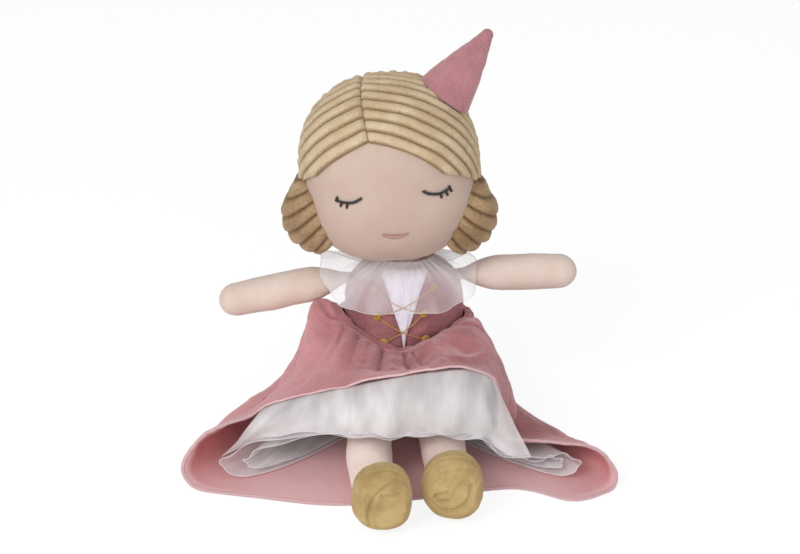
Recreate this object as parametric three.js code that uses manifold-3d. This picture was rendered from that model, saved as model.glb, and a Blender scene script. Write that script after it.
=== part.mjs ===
// A soft stuffed doll in a long gown, sitting on the floor with its legs stretched out in front.
// Millimetres, +Z up. The doll faces -Y, and its own left side is +X.
// The origin is on the floor under the neck, on the underside of the skirt that the doll sits on.
import * as THREE from "three";
import { mergeVertices } from "three/addons/utils/BufferGeometryUtils.js";
import Module from "manifold-3d";

const wasm = await Module();
wasm.setup();

// Driving dimensions, in millimetres and degrees.
const SEAM_GAP = 0.3; // between pieces that are sewn together or rest on each other

const VELOUR = 1.6; // thickness of the skirt cloth
const TULLE = 0.7; // thickness of the gathered net
const BODICE_CLOTH = 1.2;
const BODICE_TUCK = 2; // how far the bodice reaches in under the skirt
const BODICE_BELOW_TOP = 4.5; // its neckline, below the top of the body
const BODICE_HALF_TURN_DEG = 86; // each panel ends this far round from its middle
const ARMHOLE = { turn: 24, height: 90, spread: 9 };
const INSERT_CLOTH = 0.8;

const TORSO_BOTTOM = VELOUR + TULLE + 4 * SEAM_GAP; // the body sits on the skirt and the petticoat
const TORSO_TOP = 102;
const WAIST_FRONT = 53; // the waistline dips to a point in front
const WAIST_SIDE = 72;
const WAIST_BACK = 70;
const INSERT_HALF_WIDTH = 9; // at the neck

const NECK_BALL = { height: TORSO_TOP - 5, radius: 12 };
const NECK_STEM = { radius: 8.5, top: TORSO_TOP + 8 };

const HEAD = { x: -8.5, y: -4, aboveNeck: 48.5, halfWidth: 49.3, halfDepth: 45, halfHeight: 52.5 };
const HEAD_SQUARENESS = { top: 2.2, chin: 2.7 }; // 2 is an egg, and higher is fuller
const HEAD_ROLL_DEG = 4.4; // its left side is the higher one
const HAIR_BASE = 2.2; // the hair cloth in the valleys between two ribs
const RIB_HEIGHT = 1.7;
// Each panel's ribs go round a pole, and pitch is one rib, seen from the middle of the head. The
// ribs of a front panel run from the angle that its seams hide to the hairline.
const LEFT_RIBS = { from: 37, hairline: 111.2, pitch: 7.1 };
const RIGHT_RIBS = { from: 20, hairline: 87.2, pitch: 8.1 };
const BACK_RIBS = { from: 7, to: 173, pitch: 7.4 };
const TEMPLE_BELOW = 10.3; // lower edge of the front hair, below the middle of the head
const TEMPLE_SLOPE = 0.5; // it falls towards the back by this much for each millimetre
const CORONAL_SEAM_Y = 6; // where the front hair meets the back hair
const NAPE_BELOW = 37.5; // lower edge of the back hair at the nape, below the middle of the head
const NAPE_SLOPE = 0.55; // it rises towards the ears by this much for each millimetre

const HAT = { baseRadius: 20, tipRadius: 3.6, bulge: 1.5, length: 52.3, baseDepth: 9 };
const HAT_FOOT = { left: 28, behind: -0.5, up: 38.6 }; // from the middle of the head
// The ribs of a bun fan out from a line above the middle of the head, like the leaves of a book.
const BUN = { ribs: 6, ribHeight: 1.6, halfDepth: 21, reach: 26.3 };
const BUN_PLACE = { beyondHead: 7.7, ahead: 7, fanAbove: 18 }; // from the middle of the head
const BUN_FAN_DEG = { from: 22, to: 62 }; // its turn below the level through the fan's line

const SHOULDER = { leftHeight: 90.3, rightHeight: 88 };
const TAB = { knuckle: 2.2, reach: 6.5, halfWidth: 7, halfThickness: 4.6 };
const ARM = { radius: 10.6, rootLength: 15, leftLength: 64, rightLength: 71.5 };
const ARM_SWING_DEG = 40; // the room that is left for it at the shoulder, from where it rests
const LEFT_ARM_RISE_DEG = 1.5;
const RIGHT_ARM_RISE_DEG = -10.5;
const RIGHT_ARM_FORWARD_DEG = 5;

const HIP = { x: 17, z: 13.4 };
const LEG = { radius: 12.8, rootLength: 15, axisHeight: 16.2, leftBow: 1, rightBow: -3.5 };
const LEFT_ANKLE = { x: 25, y: -123.5 };
const RIGHT_ANKLE = { x: -16, y: -134.5 };
const SHOE = { halfWidth: 16.8, halfDepth: 14.5, halfHeight: 18.6, squareness: 2.35 };
const SOLE = { depth: 7.5, thickness: 3, share: 0.92 }; // share of the shoe's width and height
const LEFT_SHOE = { x: 26.5, y: -133, z: 19.2, yaw: 3, pitch: -3 };
const RIGHT_SHOE = { x: -12.3, y: -145.3, z: 18.9, yaw: 7, pitch: 0 };

// Colours and finishes of the cloths.
const MATERIALS = {
  skin: new THREE.MeshStandardMaterial({ color: 0xf0d9cc, roughness: 0.9, metalness: 0 }),
  hair: new THREE.MeshStandardMaterial({ color: 0xc9b08a, roughness: 0.95, metalness: 0 }),
  hat: new THREE.MeshStandardMaterial({ color: 0xc98d92, roughness: 0.9, metalness: 0 }),
  skirt: new THREE.MeshStandardMaterial({ color: 0xc98a8e, roughness: 0.9, metalness: 0 }),
  bodice: new THREE.MeshStandardMaterial({ color: 0xa26a6e, roughness: 0.9, metalness: 0 }),
  white: new THREE.MeshStandardMaterial({ color: 0xefeaf0, roughness: 0.6, metalness: 0 }),
  tulle: new THREE.MeshStandardMaterial({ color: 0xf4edef, roughness: 0.8, metalness: 0 }),
  gold: new THREE.MeshStandardMaterial({ color: 0xc2a672, roughness: 0.55, metalness: 0 }),
};

const radians = THREE.MathUtils.degToRad;
const point = (x, y, z) => new THREE.Vector3(x, y, z);

// Closed meshes from rings and grids of points.

function geometryFrom(positions, triangles) {
  const geometry = new THREE.BufferGeometry();
  geometry.setAttribute("position", new THREE.Float32BufferAttribute(positions, 3));
  geometry.setIndex(triangles);
  return geometry;
}

// A closed body through rings of equally many points, with a fan of faces over each end.
function loft(rings) {
  const count = rings[0].length;
  const positions = [];
  const triangles = [];
  for (const ring of rings) for (const p of ring) positions.push(p.x, p.y, p.z);
  const at = (ring, i) => ring * count + (i % count);
  for (let ring = 0; ring + 1 < rings.length; ring++) {
    for (let i = 0; i < count; i++) {
      triangles.push(at(ring, i), at(ring, i + 1), at(ring + 1, i + 1));
      triangles.push(at(ring, i), at(ring + 1, i + 1), at(ring + 1, i));
    }
  }
  for (const [ring, flip] of [[0, true], [rings.length - 1, false]]) {
    const middle = point(0, 0, 0);
    for (const p of rings[ring]) middle.add(p);
    middle.divideScalar(count);
    const centre = positions.length / 3;
    positions.push(middle.x, middle.y, middle.z);
    for (let i = 0; i < count; i++) {
      const [a, b] = flip ? [at(ring, i + 1), at(ring, i)] : [at(ring, i), at(ring, i + 1)];
      triangles.push(a, b, centre);
    }
  }
  return geometryFrom(positions, triangles);
}

// A thin panel of cloth. surface(s, t) gives its line, with s from 0 to 1 from the doll's right
// to its left over the front and t from 0 to 1 up from the lower edge. The cloth lies from inner
// to inner + thickness out from the surface. A closed panel joins up in s.
function panel(surface, stepsS, stepsT, inner, thickness, closed = false, floor = -Infinity) {
  const columns = closed ? stepsS : stepsS + 1;
  const rows = stepsT + 1;
  const layers = [[], []];
  const near = 1e-3;
  for (let j = 0; j < rows; j++) {
    for (let i = 0; i < columns; i++) {
      const s = i / stepsS;
      const t = j / stepsT;
      const [s0, s1] = closed ? [s - near, s + near] : [Math.max(0, s - near), Math.min(1, s + near)];
      const [t0, t1] = [Math.max(0, t - near), Math.min(1, t + near)];
      const alongS = surface(s1, t).sub(surface(s0, t));
      const alongT = surface(s, t1).sub(surface(s, t0));
      const normal = alongS.cross(alongT).normalize();
      const middle = surface(s, t);
      layers[0].push(middle.clone().addScaledVector(normal, inner));
      layers[1].push(middle.clone().addScaledVector(normal, inner + thickness));
    }
  }
  for (const layer of layers) for (const p of layer) p.z = Math.max(p.z, floor);
  const positions = [...layers[0], ...layers[1]].flatMap((p) => [p.x, p.y, p.z]);
  const triangles = [];
  const at = (layer, i, j) => layer * columns * rows + j * columns + (i % columns);
  const quad = (a, b, c, d) => triangles.push(a, b, c, a, c, d);
  for (let j = 0; j < stepsT; j++) {
    for (let i = 0; i < stepsS; i++) {
      quad(at(0, i, j), at(0, i, j + 1), at(0, i + 1, j + 1), at(0, i + 1, j));
      quad(at(1, i, j), at(1, i + 1, j), at(1, i + 1, j + 1), at(1, i, j + 1));
    }
    if (!closed) {
      quad(at(0, 0, j), at(1, 0, j), at(1, 0, j + 1), at(0, 0, j + 1));
      quad(at(0, stepsS, j), at(0, stepsS, j + 1), at(1, stepsS, j + 1), at(1, stepsS, j));
    }
  }
  for (let i = 0; i < stepsS; i++) {
    quad(at(0, i, 0), at(0, i + 1, 0), at(1, i + 1, 0), at(1, i, 0));
    quad(at(0, i, stepsT), at(1, i, stepsT), at(1, i + 1, stepsT), at(0, i + 1, stepsT));
  }
  return geometryFrom(positions, triangles);
}

// Cutting and joining.

function solid(geometry) {
  const bare = geometry.clone();
  bare.deleteAttribute("normal");
  bare.deleteAttribute("uv");
  const merged = mergeVertices(bare, 1e-4);
  const made = new wasm.Manifold(
    new wasm.Mesh({
      numProp: 3,
      vertProperties: new Float32Array(merged.attributes.position.array),
      triVerts: new Uint32Array(merged.index.array),
    }),
  );
  if (made.volume() < 0) throw new Error("a piece is inside out");
  return made;
}

function geometryOf(made) {
  const mesh = made.getMesh();
  const positions = [];
  for (let i = 0; i < mesh.numVert; i++) {
    const start = i * mesh.numProp;
    positions.push(...mesh.vertProperties.slice(start, start + 3));
  }
  return geometryFrom(positions, Array.from(mesh.triVerts));
}

const without = (geometry, ...cutters) =>
  geometryOf(cutters.reduce((left, cutter) => left.subtract(solid(cutter)), solid(geometry)));

const shared = (first, second) => geometryOf(solid(first).intersect(solid(second)));

// A big block that fills the side of a plane that its normal points to.
function sideOfPlane(normal, through) {
  const size = 800;
  const block = new THREE.BoxGeometry(size, size, size).translate(0, 0, size / 2);
  const turn = new THREE.Quaternion().setFromUnitVectors(point(0, 0, 1), normal.clone().normalize());
  return block.applyQuaternion(turn).translate(through.x, through.y, through.z);
}

// A round bar along an axis, for grooves and sockets.
function bar(radius, length, axis, centre, sides = 24) {
  const cylinder = new THREE.CylinderGeometry(radius, radius, length, sides);
  const turn = new THREE.Quaternion().setFromUnitVectors(point(0, 1, 0), axis);
  return cylinder.applyQuaternion(turn).translate(centre.x, centre.y, centre.z);
}

// Smooth curves through chosen values.

// One value that runs smoothly through the numbers in values, at the places in at.
function smooth(at, values, x) {
  const last = at.length - 1;
  if (x <= at[0]) return values[0];
  if (x >= at[last]) return values[last];
  let k = 0;
  while (x > at[k + 1]) k++;
  const slope = (i) => {
    const [low, high] = [Math.max(0, i - 1), Math.min(last, i + 1)];
    return (values[high] - values[low]) / (at[high] - at[low]);
  };
  const width = at[k + 1] - at[k];
  const t = (x - at[k]) / width;
  const [t2, t3] = [t * t, t * t * t];
  return (
    (2 * t3 - 3 * t2 + 1) * values[k] +
    (t3 - 2 * t2 + t) * width * slope(k) +
    (-2 * t3 + 3 * t2) * values[k + 1] +
    (t3 - t2) * width * slope(k + 1)
  );
}

// A point on a smooth curve through points p0 to p3, between p1 and p2.
function between(p0, p1, p2, p3, t) {
  const [t2, t3] = [t * t, t * t * t];
  const blend = (axis) => {
    const [a, b, c, d] = [p0[axis], p1[axis], p2[axis], p3[axis]];
    return 0.5 * (2 * b + (c - a) * t + (2 * a - 5 * b + 4 * c - d) * t2 + (3 * b - a - 3 * c + d) * t3);
  };
  return point(blend("x"), blend("y"), blend("z"));
}

// A point on a surface through a table of rows of points: it joins up along the table, and each
// row runs from its first point to its last. along counts rows, and down is 0 to 1.
function onTable(table, along, down) {
  const rows = table.length;
  const row = Math.floor(along);
  const onRow = (k) => {
    const points = table[((k % rows) + rows) % rows];
    const last = points.length - 1;
    const place = Math.min(down * last, last - 1e-9);
    const i = Math.floor(place);
    const [before, after] = [points[Math.max(0, i - 1)], points[Math.min(last, i + 2)]];
    return between(before, points[i], points[i + 1], after, place - i);
  };
  return between(onRow(row - 1), onRow(row), onRow(row + 1), onRow(row + 2), along - row);
}

// The stuffed body.

const TORSO_LEVELS = [TORSO_BOTTOM, 6, 11, 22, 38, 55, 72, 84, 91, 97, TORSO_TOP];
const TORSO_HALF_WIDTHS = [22, 31, 35, 38, 36.5, 34.3, 34.2, 33, 30, 24, 15];
const TORSO_HALF_DEPTHS = [17, 23, 26, 28.3, 28, 27, 26, 24, 22, 19, 14];
const TORSO_SIDES = 28;

const torsoHalfWidth = (z) => smooth(TORSO_LEVELS, TORSO_HALF_WIDTHS, z);
const torsoHalfDepth = (z) => smooth(TORSO_LEVELS, TORSO_HALF_DEPTHS, z);

// A point on the body's skin. The angle is 0 in front, and 90 on the doll's own left.
function onTorso(degrees, z, out = 0) {
  const a = radians(degrees);
  return point((torsoHalfWidth(z) + out) * Math.sin(a), -(torsoHalfDepth(z) + out) * Math.cos(a), z);
}

function waistHeight(degrees) {
  const side = Math.abs(Math.sin(radians(degrees)));
  const front = Math.cos(radians(degrees)) > 0;
  const middle = front ? WAIST_FRONT : WAIST_BACK;
  return middle + (WAIST_SIDE - middle) * side ** 1.6;
}

function shoulderPivot(side) {
  const height = side > 0 ? SHOULDER.leftHeight : SHOULDER.rightHeight;
  return point(side * (torsoHalfWidth(height) + TAB.knuckle + SEAM_GAP), 0, height);
}

function hipPivot(side) {
  const skin = torsoHalfDepth(HIP.z) * Math.sqrt(1 - (HIP.x / torsoHalfWidth(HIP.z)) ** 2);
  return point(side * HIP.x, -skin - TAB.knuckle - SEAM_GAP, HIP.z);
}

// Round grooves in the body's skin where the limbs' flat ends are sewn into the seams, and a flat
// below each hip's groove, which leaves room for the leg to hang down.
function seamGrooves() {
  const radius = TAB.knuckle + 1.4 * SEAM_GAP;
  const length = 2 * TAB.halfWidth + 1.5;
  return [1, -1].flatMap((side) => {
    const hip = hipPivot(side);
    const flat = new THREE.BoxGeometry(length, hip.z, hip.z);
    return [
      bar(radius, length, point(0, 1, 0), shoulderPivot(side)),
      bar(radius, length, point(1, 0, 0), hip),
      flat.translate(hip.x, hip.y + radius - hip.z / 2, hip.z / 2),
    ];
  });
}

function neckSocket() {
  const sphere = new THREE.SphereGeometry(NECK_BALL.radius + SEAM_GAP, 28, 16);
  return sphere.rotateX(Math.PI / 2).translate(0, 0, NECK_BALL.height);
}

function torso() {
  const rings = TORSO_LEVELS.map((z) => {
    const ring = [];
    for (let i = 0; i < TORSO_SIDES; i++) ring.push(onTorso((i * 360) / TORSO_SIDES, z));
    return ring;
  });
  return without(loft(rings), neckSocket(), ...seamGrooves());
}

// One panel of the bodice, front or back, with a hollow edge round each arm.
function bodicePanel(front) {
  const top = TORSO_TOP - BODICE_BELOW_TOP;
  const middle = front ? 0 : 180;
  const halfTurn = (z) =>
    BODICE_HALF_TURN_DEG - ARMHOLE.turn * Math.exp(-(((z - ARMHOLE.height) / ARMHOLE.spread) ** 2));
  const surface = (s, t) => {
    const share = 2 * s - 1;
    const foot = waistHeight(middle + BODICE_HALF_TURN_DEG * share) - BODICE_TUCK;
    const z = foot + (top - foot) * t;
    return onTorso(middle + halfTurn(z) * share, z);
  };
  return panel(surface, 16, 6, SEAM_GAP, BODICE_CLOTH);
}

// The pale pointed insert down the middle of the front.
const INSERT_TOP_BELOW = 7; // below the top of the body
const INSERT_FOOT_ABOVE = 4; // above the middle of the waistline
const INSERT_TIP_HALF_WIDTH = 0.7;

function frontInsert() {
  const foot = WAIST_FRONT + INSERT_FOOT_ABOVE;
  const top = TORSO_TOP - INSERT_TOP_BELOW;
  const out = 2 * SEAM_GAP + BODICE_CLOTH;
  const surface = (s, t) => {
    const z = foot + (top - foot) * t;
    const halfWidth = INSERT_TIP_HALF_WIDTH + (INSERT_HALF_WIDTH - INSERT_TIP_HALF_WIDTH) * t;
    const x = halfWidth * (2 * s - 1);
    return onTorso(THREE.MathUtils.radToDeg(Math.asin(x / torsoHalfWidth(z))), z);
  };
  return panel(surface, 4, 6, out, INSERT_CLOTH);
}

// The gathered net collar: rows of points from the neck out to the hem, going round from the front.
const COLLAR = [
  [point(0, -14.5, 103.5), point(0, -27, 93), point(0, -34, 79)],
  [point(9, -13.5, 103.7), point(18, -25.5, 93), point(24, -32, 80)],
  [point(15, -8.5, 104.1), point(30, -18, 97), point(39, -21, 88)],
  [point(17.5, 0, 104.1), point(28, 0, 103), point(40, 0, 101.5)],
  [point(15, 8.5, 103.9), point(27, 17, 98), point(37, 20, 95)],
  [point(9, 14, 103.9), point(17, 26, 94), point(24, 33, 84)],
  [point(0, 15.5, 103.7), point(0, 28.5, 93), point(0, 36, 82)],
  [point(-9, 14, 103.9), point(-17, 26, 94), point(-24, 33, 84)],
  [point(-15, 8.5, 104.1), point(-30, 17, 98), point(-46, 19, 97)],
  [point(-17.5, 0, 104.3), point(-34, 0, 101.6), point(-50, 0, 100)],
  [point(-15, -8.5, 103.9), point(-30, -18, 95), point(-40, -21, 84)],
  [point(-9, -13.5, 103.7), point(-18, -25.5, 93), point(-25, -32, 79)],
];
const COLLAR_WAVES = 12;
const COLLAR_WAVE_HEIGHT = 2.2;

function collar() {
  const surface = (s, t) => {
    const down = 1 - t;
    const p = onTable(COLLAR, s * COLLAR.length, down);
    const wave = COLLAR_WAVE_HEIGHT * down * (1 + Math.cos(2 * Math.PI * COLLAR_WAVES * s));
    const out = point(p.x, p.y, 0).normalize();
    return p.addScaledVector(out, wave);
  };
  return panel(surface, 4 * COLLAR_WAVES, 4, 0, TULLE, true);
}

// The neck is a stuffed ball in the body with a short stem up into the head.
function neck() {
  const profile = [];
  const turn = Math.asin(NECK_STEM.radius / NECK_BALL.radius);
  for (let i = 0; i <= 9; i++) {
    const a = -Math.PI / 2 + ((Math.PI - turn) * i) / 9;
    const radius = i === 0 ? 0 : NECK_BALL.radius * Math.cos(a);
    profile.push(new THREE.Vector2(radius, NECK_BALL.height + NECK_BALL.radius * Math.sin(a)));
  }
  profile.push(new THREE.Vector2(NECK_STEM.radius, NECK_STEM.top), new THREE.Vector2(0, NECK_STEM.top));
  return new THREE.LatheGeometry(profile, 20).rotateX(Math.PI / 2);
}

// The head and its ribbed hair.

const headCentre = point(HEAD.x, HEAD.y, NECK_STEM.top + HEAD.aboveNeck);

// How far the stuffed head reaches from its middle in a direction.
function headReach(direction) {
  const own = direction.clone().applyAxisAngle(point(0, 1, 0), radians(HEAD_ROLL_DEG));
  const n = THREE.MathUtils.lerp(HEAD_SQUARENESS.chin, HEAD_SQUARENESS.top, (1 + own.z) / 2);
  const sum =
    Math.abs(own.x / HEAD.halfWidth) ** n +
    Math.abs(own.y / HEAD.halfDepth) ** n +
    Math.abs(own.z / HEAD.halfHeight) ** n;
  return sum ** (-1 / n);
}

// A closed ball with rings of points round a pole. reach(direction, fromPole) is its radius.
function ringedBall(centre, pole, angles, around, reach) {
  const turn = new THREE.Quaternion().setFromUnitVectors(point(0, 0, 1), pole.clone().normalize());
  const rings = angles.map((fromPole) => {
    const ring = [];
    for (let i = 0; i < around; i++) {
      const a = (2 * Math.PI * i) / around;
      const direction = point(
        Math.sin(fromPole) * Math.cos(a),
        Math.sin(fromPole) * Math.sin(a),
        Math.cos(fromPole),
      ).applyQuaternion(turn);
      ring.push(direction.clone().multiplyScalar(reach(direction, fromPole)).add(centre));
    }
    return ring;
  });
  return loft(rings.reverse());
}

function evenAngles(from, to, steps) {
  return Array.from({ length: steps + 1 }, (_, i) => radians(from + ((to - from) * i) / steps));
}

const POLE_MARGIN_DEG = 4;

const headBall = (out, steps = 16) =>
  ringedBall(headCentre, point(0, 0, 1), evenAngles(POLE_MARGIN_DEG, 180 - POLE_MARGIN_DEG, steps),
    Math.round(1.6 * steps), (direction) => headReach(direction) + out);

function head() {
  const stem = bar(NECK_STEM.radius + SEAM_GAP, 2 * (NECK_STEM.top + SEAM_GAP - 100), point(0, 0, 1),
    point(0, 0, 100), 20);
  return without(headBall(0), stem);
}

// The rounded top of one rib: 0 in the valleys and 1 on the crest.
const ribShape = (ribs) => Math.sqrt(Math.abs(Math.sin(Math.PI * ribs)));

// The poles that the ribs of each panel go round, and the parting between the two front panels.
const LEFT_POLE = point(0.232, 0.785, 0.574);
const RIGHT_POLE = point(-0.391, 0.565, 0.727);
const BACK_POLE = point(1, 0, 0);
const PARTING_NORMAL = point(0.954, -0.062, 0.292).normalize();

// The stuffed head with ribbed cloth over it, as one full ball of ribs from one angle to another.
function ribbedCap(pole, from, to, pitch, around) {
  const stepsPerRib = 3;
  const ribs = (to - from) / pitch;
  const steps = Math.round(ribs * stepsPerRib);
  const reach = (direction, fromPole) => {
    const count = (to - THREE.MathUtils.radToDeg(fromPole)) / pitch;
    return headReach(direction) + HAIR_BASE + RIB_HEIGHT * ribShape(count);
  };
  return ringedBall(headCentre, pole, evenAngles(from, to, steps), around, reach);
}

function frontHair(side) {
  const [pole, ribs] = side > 0 ? [LEFT_POLE, LEFT_RIBS] : [RIGHT_POLE, RIGHT_RIBS];
  const cap = ribbedCap(pole, ribs.from, ribs.hairline, ribs.pitch, 28);
  const otherSide = PARTING_NORMAL.clone().multiplyScalar(-side);
  const parting = sideOfPlane(otherSide, headCentre.clone().addScaledVector(otherSide, -SEAM_GAP / 2));
  const behind = sideOfPlane(point(0, 1, 0), point(0, CORONAL_SEAM_Y - SEAM_GAP, 0));
  const temple = headCentre.clone().add(point(0, 0, -TEMPLE_BELOW));
  const below = sideOfPlane(point(0, -TEMPLE_SLOPE, -1), temple);
  return without(cap, parting, behind, below, headBall(SEAM_GAP));
}

function backHair() {
  const cap = ribbedCap(BACK_POLE, BACK_RIBS.from, BACK_RIBS.to, BACK_RIBS.pitch, 20);
  const front = sideOfPlane(point(0, -1, 0), point(0, CORONAL_SEAM_Y, 0));
  const nape = headCentre.clone().add(point(0, HEAD.halfDepth, -NAPE_BELOW));
  const below = sideOfPlane(point(0, -NAPE_SLOPE, -1), nape);
  return without(cap, front, below, headBall(SEAM_GAP));
}

// The ball that the hair cloth fills to its crests, which the hat and the buns sit on.
const hairBall = () => headBall(HAIR_BASE + RIB_HEIGHT + 1.5 * SEAM_GAP, 24);

// The pointed hat stands on the left front hair, leaning away from the middle of the head.
const HAT_AXIS = point(0.57, 0.067, 0.822).normalize();

function hat() {
  const profile = [new THREE.Vector2(0, -HAT.baseDepth)];
  const steps = 7;
  const tipCentre = HAT.length - HAT.tipRadius;
  for (let i = 0; i <= steps; i++) {
    const t = i / steps;
    const bulge = HAT.bulge * Math.sin(Math.PI * t);
    const height = -HAT.baseDepth + (tipCentre + HAT.baseDepth) * t;
    profile.push(new THREE.Vector2(HAT.baseRadius + (HAT.tipRadius - HAT.baseRadius) * t + bulge, height));
  }
  for (let i = 1; i <= 3; i++) {
    const a = (Math.PI / 2) * (i / 3);
    const radius = i === 3 ? 0 : HAT.tipRadius * Math.cos(a);
    profile.push(new THREE.Vector2(radius, tipCentre + HAT.tipRadius * Math.sin(a)));
  }
  const turn = new THREE.Quaternion().setFromUnitVectors(point(0, 1, 0), HAT_AXIS);
  const cone = new THREE.LatheGeometry(profile, 24).applyQuaternion(turn);
  const foot = headCentre.clone().add(point(HAT_FOOT.left, HAT_FOOT.behind, HAT_FOOT.up));
  return without(cone.translate(foot.x, foot.y, foot.z), hairBall());
}

// How full a bun is, from the upper end of its fan of ribs to the lower end.
const BUN_PLACES = [0, 0.12, 0.25, 0.5, 0.7, 0.85, 0.95, 1];
const BUN_FULLNESS = [0.12, 0.42, 0.78, 0.97, 1, 0.95, 0.75, 0.4];

// A ribbed puff of hair at the side of the head, cut to lie on the head and beside the hair.
function bun(side) {
  const sides = 18;
  const steps = 4 * BUN.ribs;
  const fan = headCentre.clone().add(point(0, -BUN_PLACE.ahead, BUN_PLACE.fanAbove));
  const distance = HEAD.halfWidth + BUN_PLACE.beyondHead;
  const rings = [];
  for (let k = 0; k <= steps; k++) {
    const share = k / steps;
    const turn = radians(BUN_FAN_DEG.from + (BUN_FAN_DEG.to - BUN_FAN_DEG.from) * share);
    const full = smooth(BUN_PLACES, BUN_FULLNESS, share);
    const rib = 1 - (BUN.ribHeight / BUN.reach) * (1 - ribShape(BUN.ribs * share));
    const ring = [];
    for (let i = 0; i < sides; i++) {
      const a = (2 * Math.PI * i) / sides;
      const out = distance + BUN.reach * full * rib * Math.cos(a);
      const back = -side * BUN.halfDepth * Math.sqrt(full) * rib * Math.sin(a);
      ring.push(fan.clone().add(point(side * out * Math.cos(turn), back, -out * Math.sin(turn))));
    }
    rings.push(ring);
  }
  const behind = sideOfPlane(point(0, 1, 0), point(0, CORONAL_SEAM_Y - SEAM_GAP, 0));
  const temple = headCentre.clone().add(point(0, 0, -TEMPLE_BELOW - SEAM_GAP));
  const above = sideOfPlane(point(0, TEMPLE_SLOPE, 1), temple);
  return without(loft(rings), headBall(SEAM_GAP), shared(hairBall(), behind), shared(hairBall(), above));
}

// Limbs.

// The flat end of a limb, not stuffed, that is sewn into a seam of the body and folds there. It
// points along +X from its fold, which lies along Y, and ends in a round face for the limb.
function tab() {
  const plan = new THREE.Shape();
  plan.moveTo(-TAB.knuckle, -TAB.halfWidth);
  plan.lineTo(TAB.reach, -TAB.halfWidth);
  plan.absarc(TAB.reach, 0, TAB.halfWidth, -Math.PI / 2, Math.PI / 2, false);
  plan.lineTo(-TAB.knuckle, TAB.halfWidth);
  const side = new THREE.Shape();
  const end = TAB.reach + TAB.halfWidth;
  side.moveTo(0, -TAB.knuckle);
  side.lineTo(end, -TAB.halfThickness);
  side.lineTo(end, TAB.halfThickness);
  side.lineTo(0, TAB.knuckle);
  side.absarc(0, 0, TAB.knuckle, Math.PI / 2, (3 * Math.PI) / 2, false);
  const depth = 4 * TAB.halfWidth;
  const fromAbove = new THREE.ExtrudeGeometry(plan, { depth, bevelEnabled: false, curveSegments: 10 });
  const fromSide = new THREE.ExtrudeGeometry(side, { depth, bevelEnabled: false, curveSegments: 8 });
  fromAbove.translate(0, 0, -depth / 2);
  fromSide.translate(0, 0, -depth / 2).rotateX(Math.PI / 2);
  return shared(fromAbove, fromSide);
}

// A stuffed limb along a chain of stations: middle, half width and half height of each.
function stuffed(stations, sides = 20) {
  const rings = stations.map(({ at, width, height, across, up }) => {
    const ring = [];
    for (let i = 0; i < sides; i++) {
      const a = (2 * Math.PI * i) / sides;
      const p = at.clone().addScaledVector(across, width * Math.cos(a));
      ring.push(p.addScaledVector(up, height * Math.sin(a)));
    }
    return ring;
  });
  return loft(rings);
}

// The room that a tab takes up as its limb swings to either side about its round end.
function swingRoom(degrees) {
  const width = TAB.halfWidth + SEAM_GAP;
  const straight = new THREE.BoxGeometry(4 * width, 2 * width, 8 * width).translate(-2 * width, 0, 0);
  return [
    bar(width, 8 * width, point(0, 0, 1), point(0, 0, 0), 28),
    straight.clone().rotateZ(radians(degrees)),
    straight.rotateZ(radians(-degrees)),
  ];
}

// An arm along +X from its pivot: flat at the root, round and full, and closed by a round hand.
// forward is how far it is turned forward of its tab where it rests.
function arm(length, radius, forward) {
  const across = point(0, 1, 0);
  const up = point(0, 0, 1);
  const places = [1, 5, 10, ARM.rootLength, 0.45 * length, 0.7 * length];
  const heights = [0.52, 0.72, 0.9, 0.98, 1.02, 0.99];
  const widths = [0.74, 0.86, 0.95, 1, 1.02, 0.98];
  const stations = places.map((x, i) => ({
    at: point(x, 0, 0), width: radius * widths[i], height: radius * heights[i], across, up,
  }));
  const hand = length - radius;
  for (let i = 0; i <= 5; i++) {
    const a = (Math.PI / 2) * (i / 5.4);
    const size = 0.95 * radius * Math.cos(a);
    stations.push({ at: point(hand + radius * Math.sin(a), 0, 0), width: size, height: size, across, up });
  }
  return without(stuffed(stations), ...swingRoom(ARM_SWING_DEG + forward));
}

// The leg runs forward from the hip to the ankle in the doll's own frame, flat at its root.
function leg(side) {
  const root = hipPivot(side).add(point(0, -TAB.reach, 0));
  const ankle = side > 0 ? LEFT_ANKLE : RIGHT_ANKLE;
  const end = point(ankle.x, ankle.y, LEG.axisHeight);
  const across = point(1, 0, 0);
  const up = point(0, 0, 1);
  const distance = root.distanceTo(end);
  const places = [1, 5, 10, LEG.rootLength, 0.45 * distance, 0.8 * distance, distance - 3, distance];
  const heights = [0.42, 0.66, 0.88, 0.97, 1, 0.97, 0.92, 0.8];
  const widths = [0.62, 0.78, 0.92, 0.99, 1.02, 0.98, 0.93, 0.8];
  const stations = places.map((place, i) => {
    const t = place / distance;
    const lift = Math.min(1, place / LEG.rootLength);
    const z = root.z + (LEG.axisHeight - root.z) * lift;
    const bow = (side > 0 ? LEG.leftBow : LEG.rightBow) * Math.sin(Math.PI * t);
    const at = point(root.x + (end.x - root.x) * t + bow, root.y + (end.y - root.y) * t, z);
    return { at, width: LEG.radius * widths[i], height: LEG.radius * heights[i], across, up };
  });
  const socket = bar(TAB.halfWidth + SEAM_GAP, 60, point(0, 0, 1), root, 28);
  return without(stuffed(stations), socket);
}

// A shoe is a stuffed cap over the end of the leg, with a flat oval sole sewn on in front.
function shoeBall(out, shoe) {
  const reach = (direction) => {
    const n = SHOE.squareness;
    const sum =
      Math.abs(direction.x / (SHOE.halfWidth + out)) ** n +
      Math.abs(direction.y / (SHOE.halfDepth + out)) ** n +
      Math.abs(direction.z / (SHOE.halfHeight + out)) ** n;
    return sum ** (-1 / n);
  };
  const angles = evenAngles(POLE_MARGIN_DEG, 180 - POLE_MARGIN_DEG, 12);
  const ball = ringedBall(point(0, 0, 0), point(0, 1, 0), angles, 22, reach);
  return placeShoe(ball, shoe);
}

function placeShoe(geometry, shoe) {
  return geometry.rotateX(radians(shoe.pitch)).rotateZ(radians(shoe.yaw)).translate(shoe.x, shoe.y, shoe.z);
}

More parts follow.
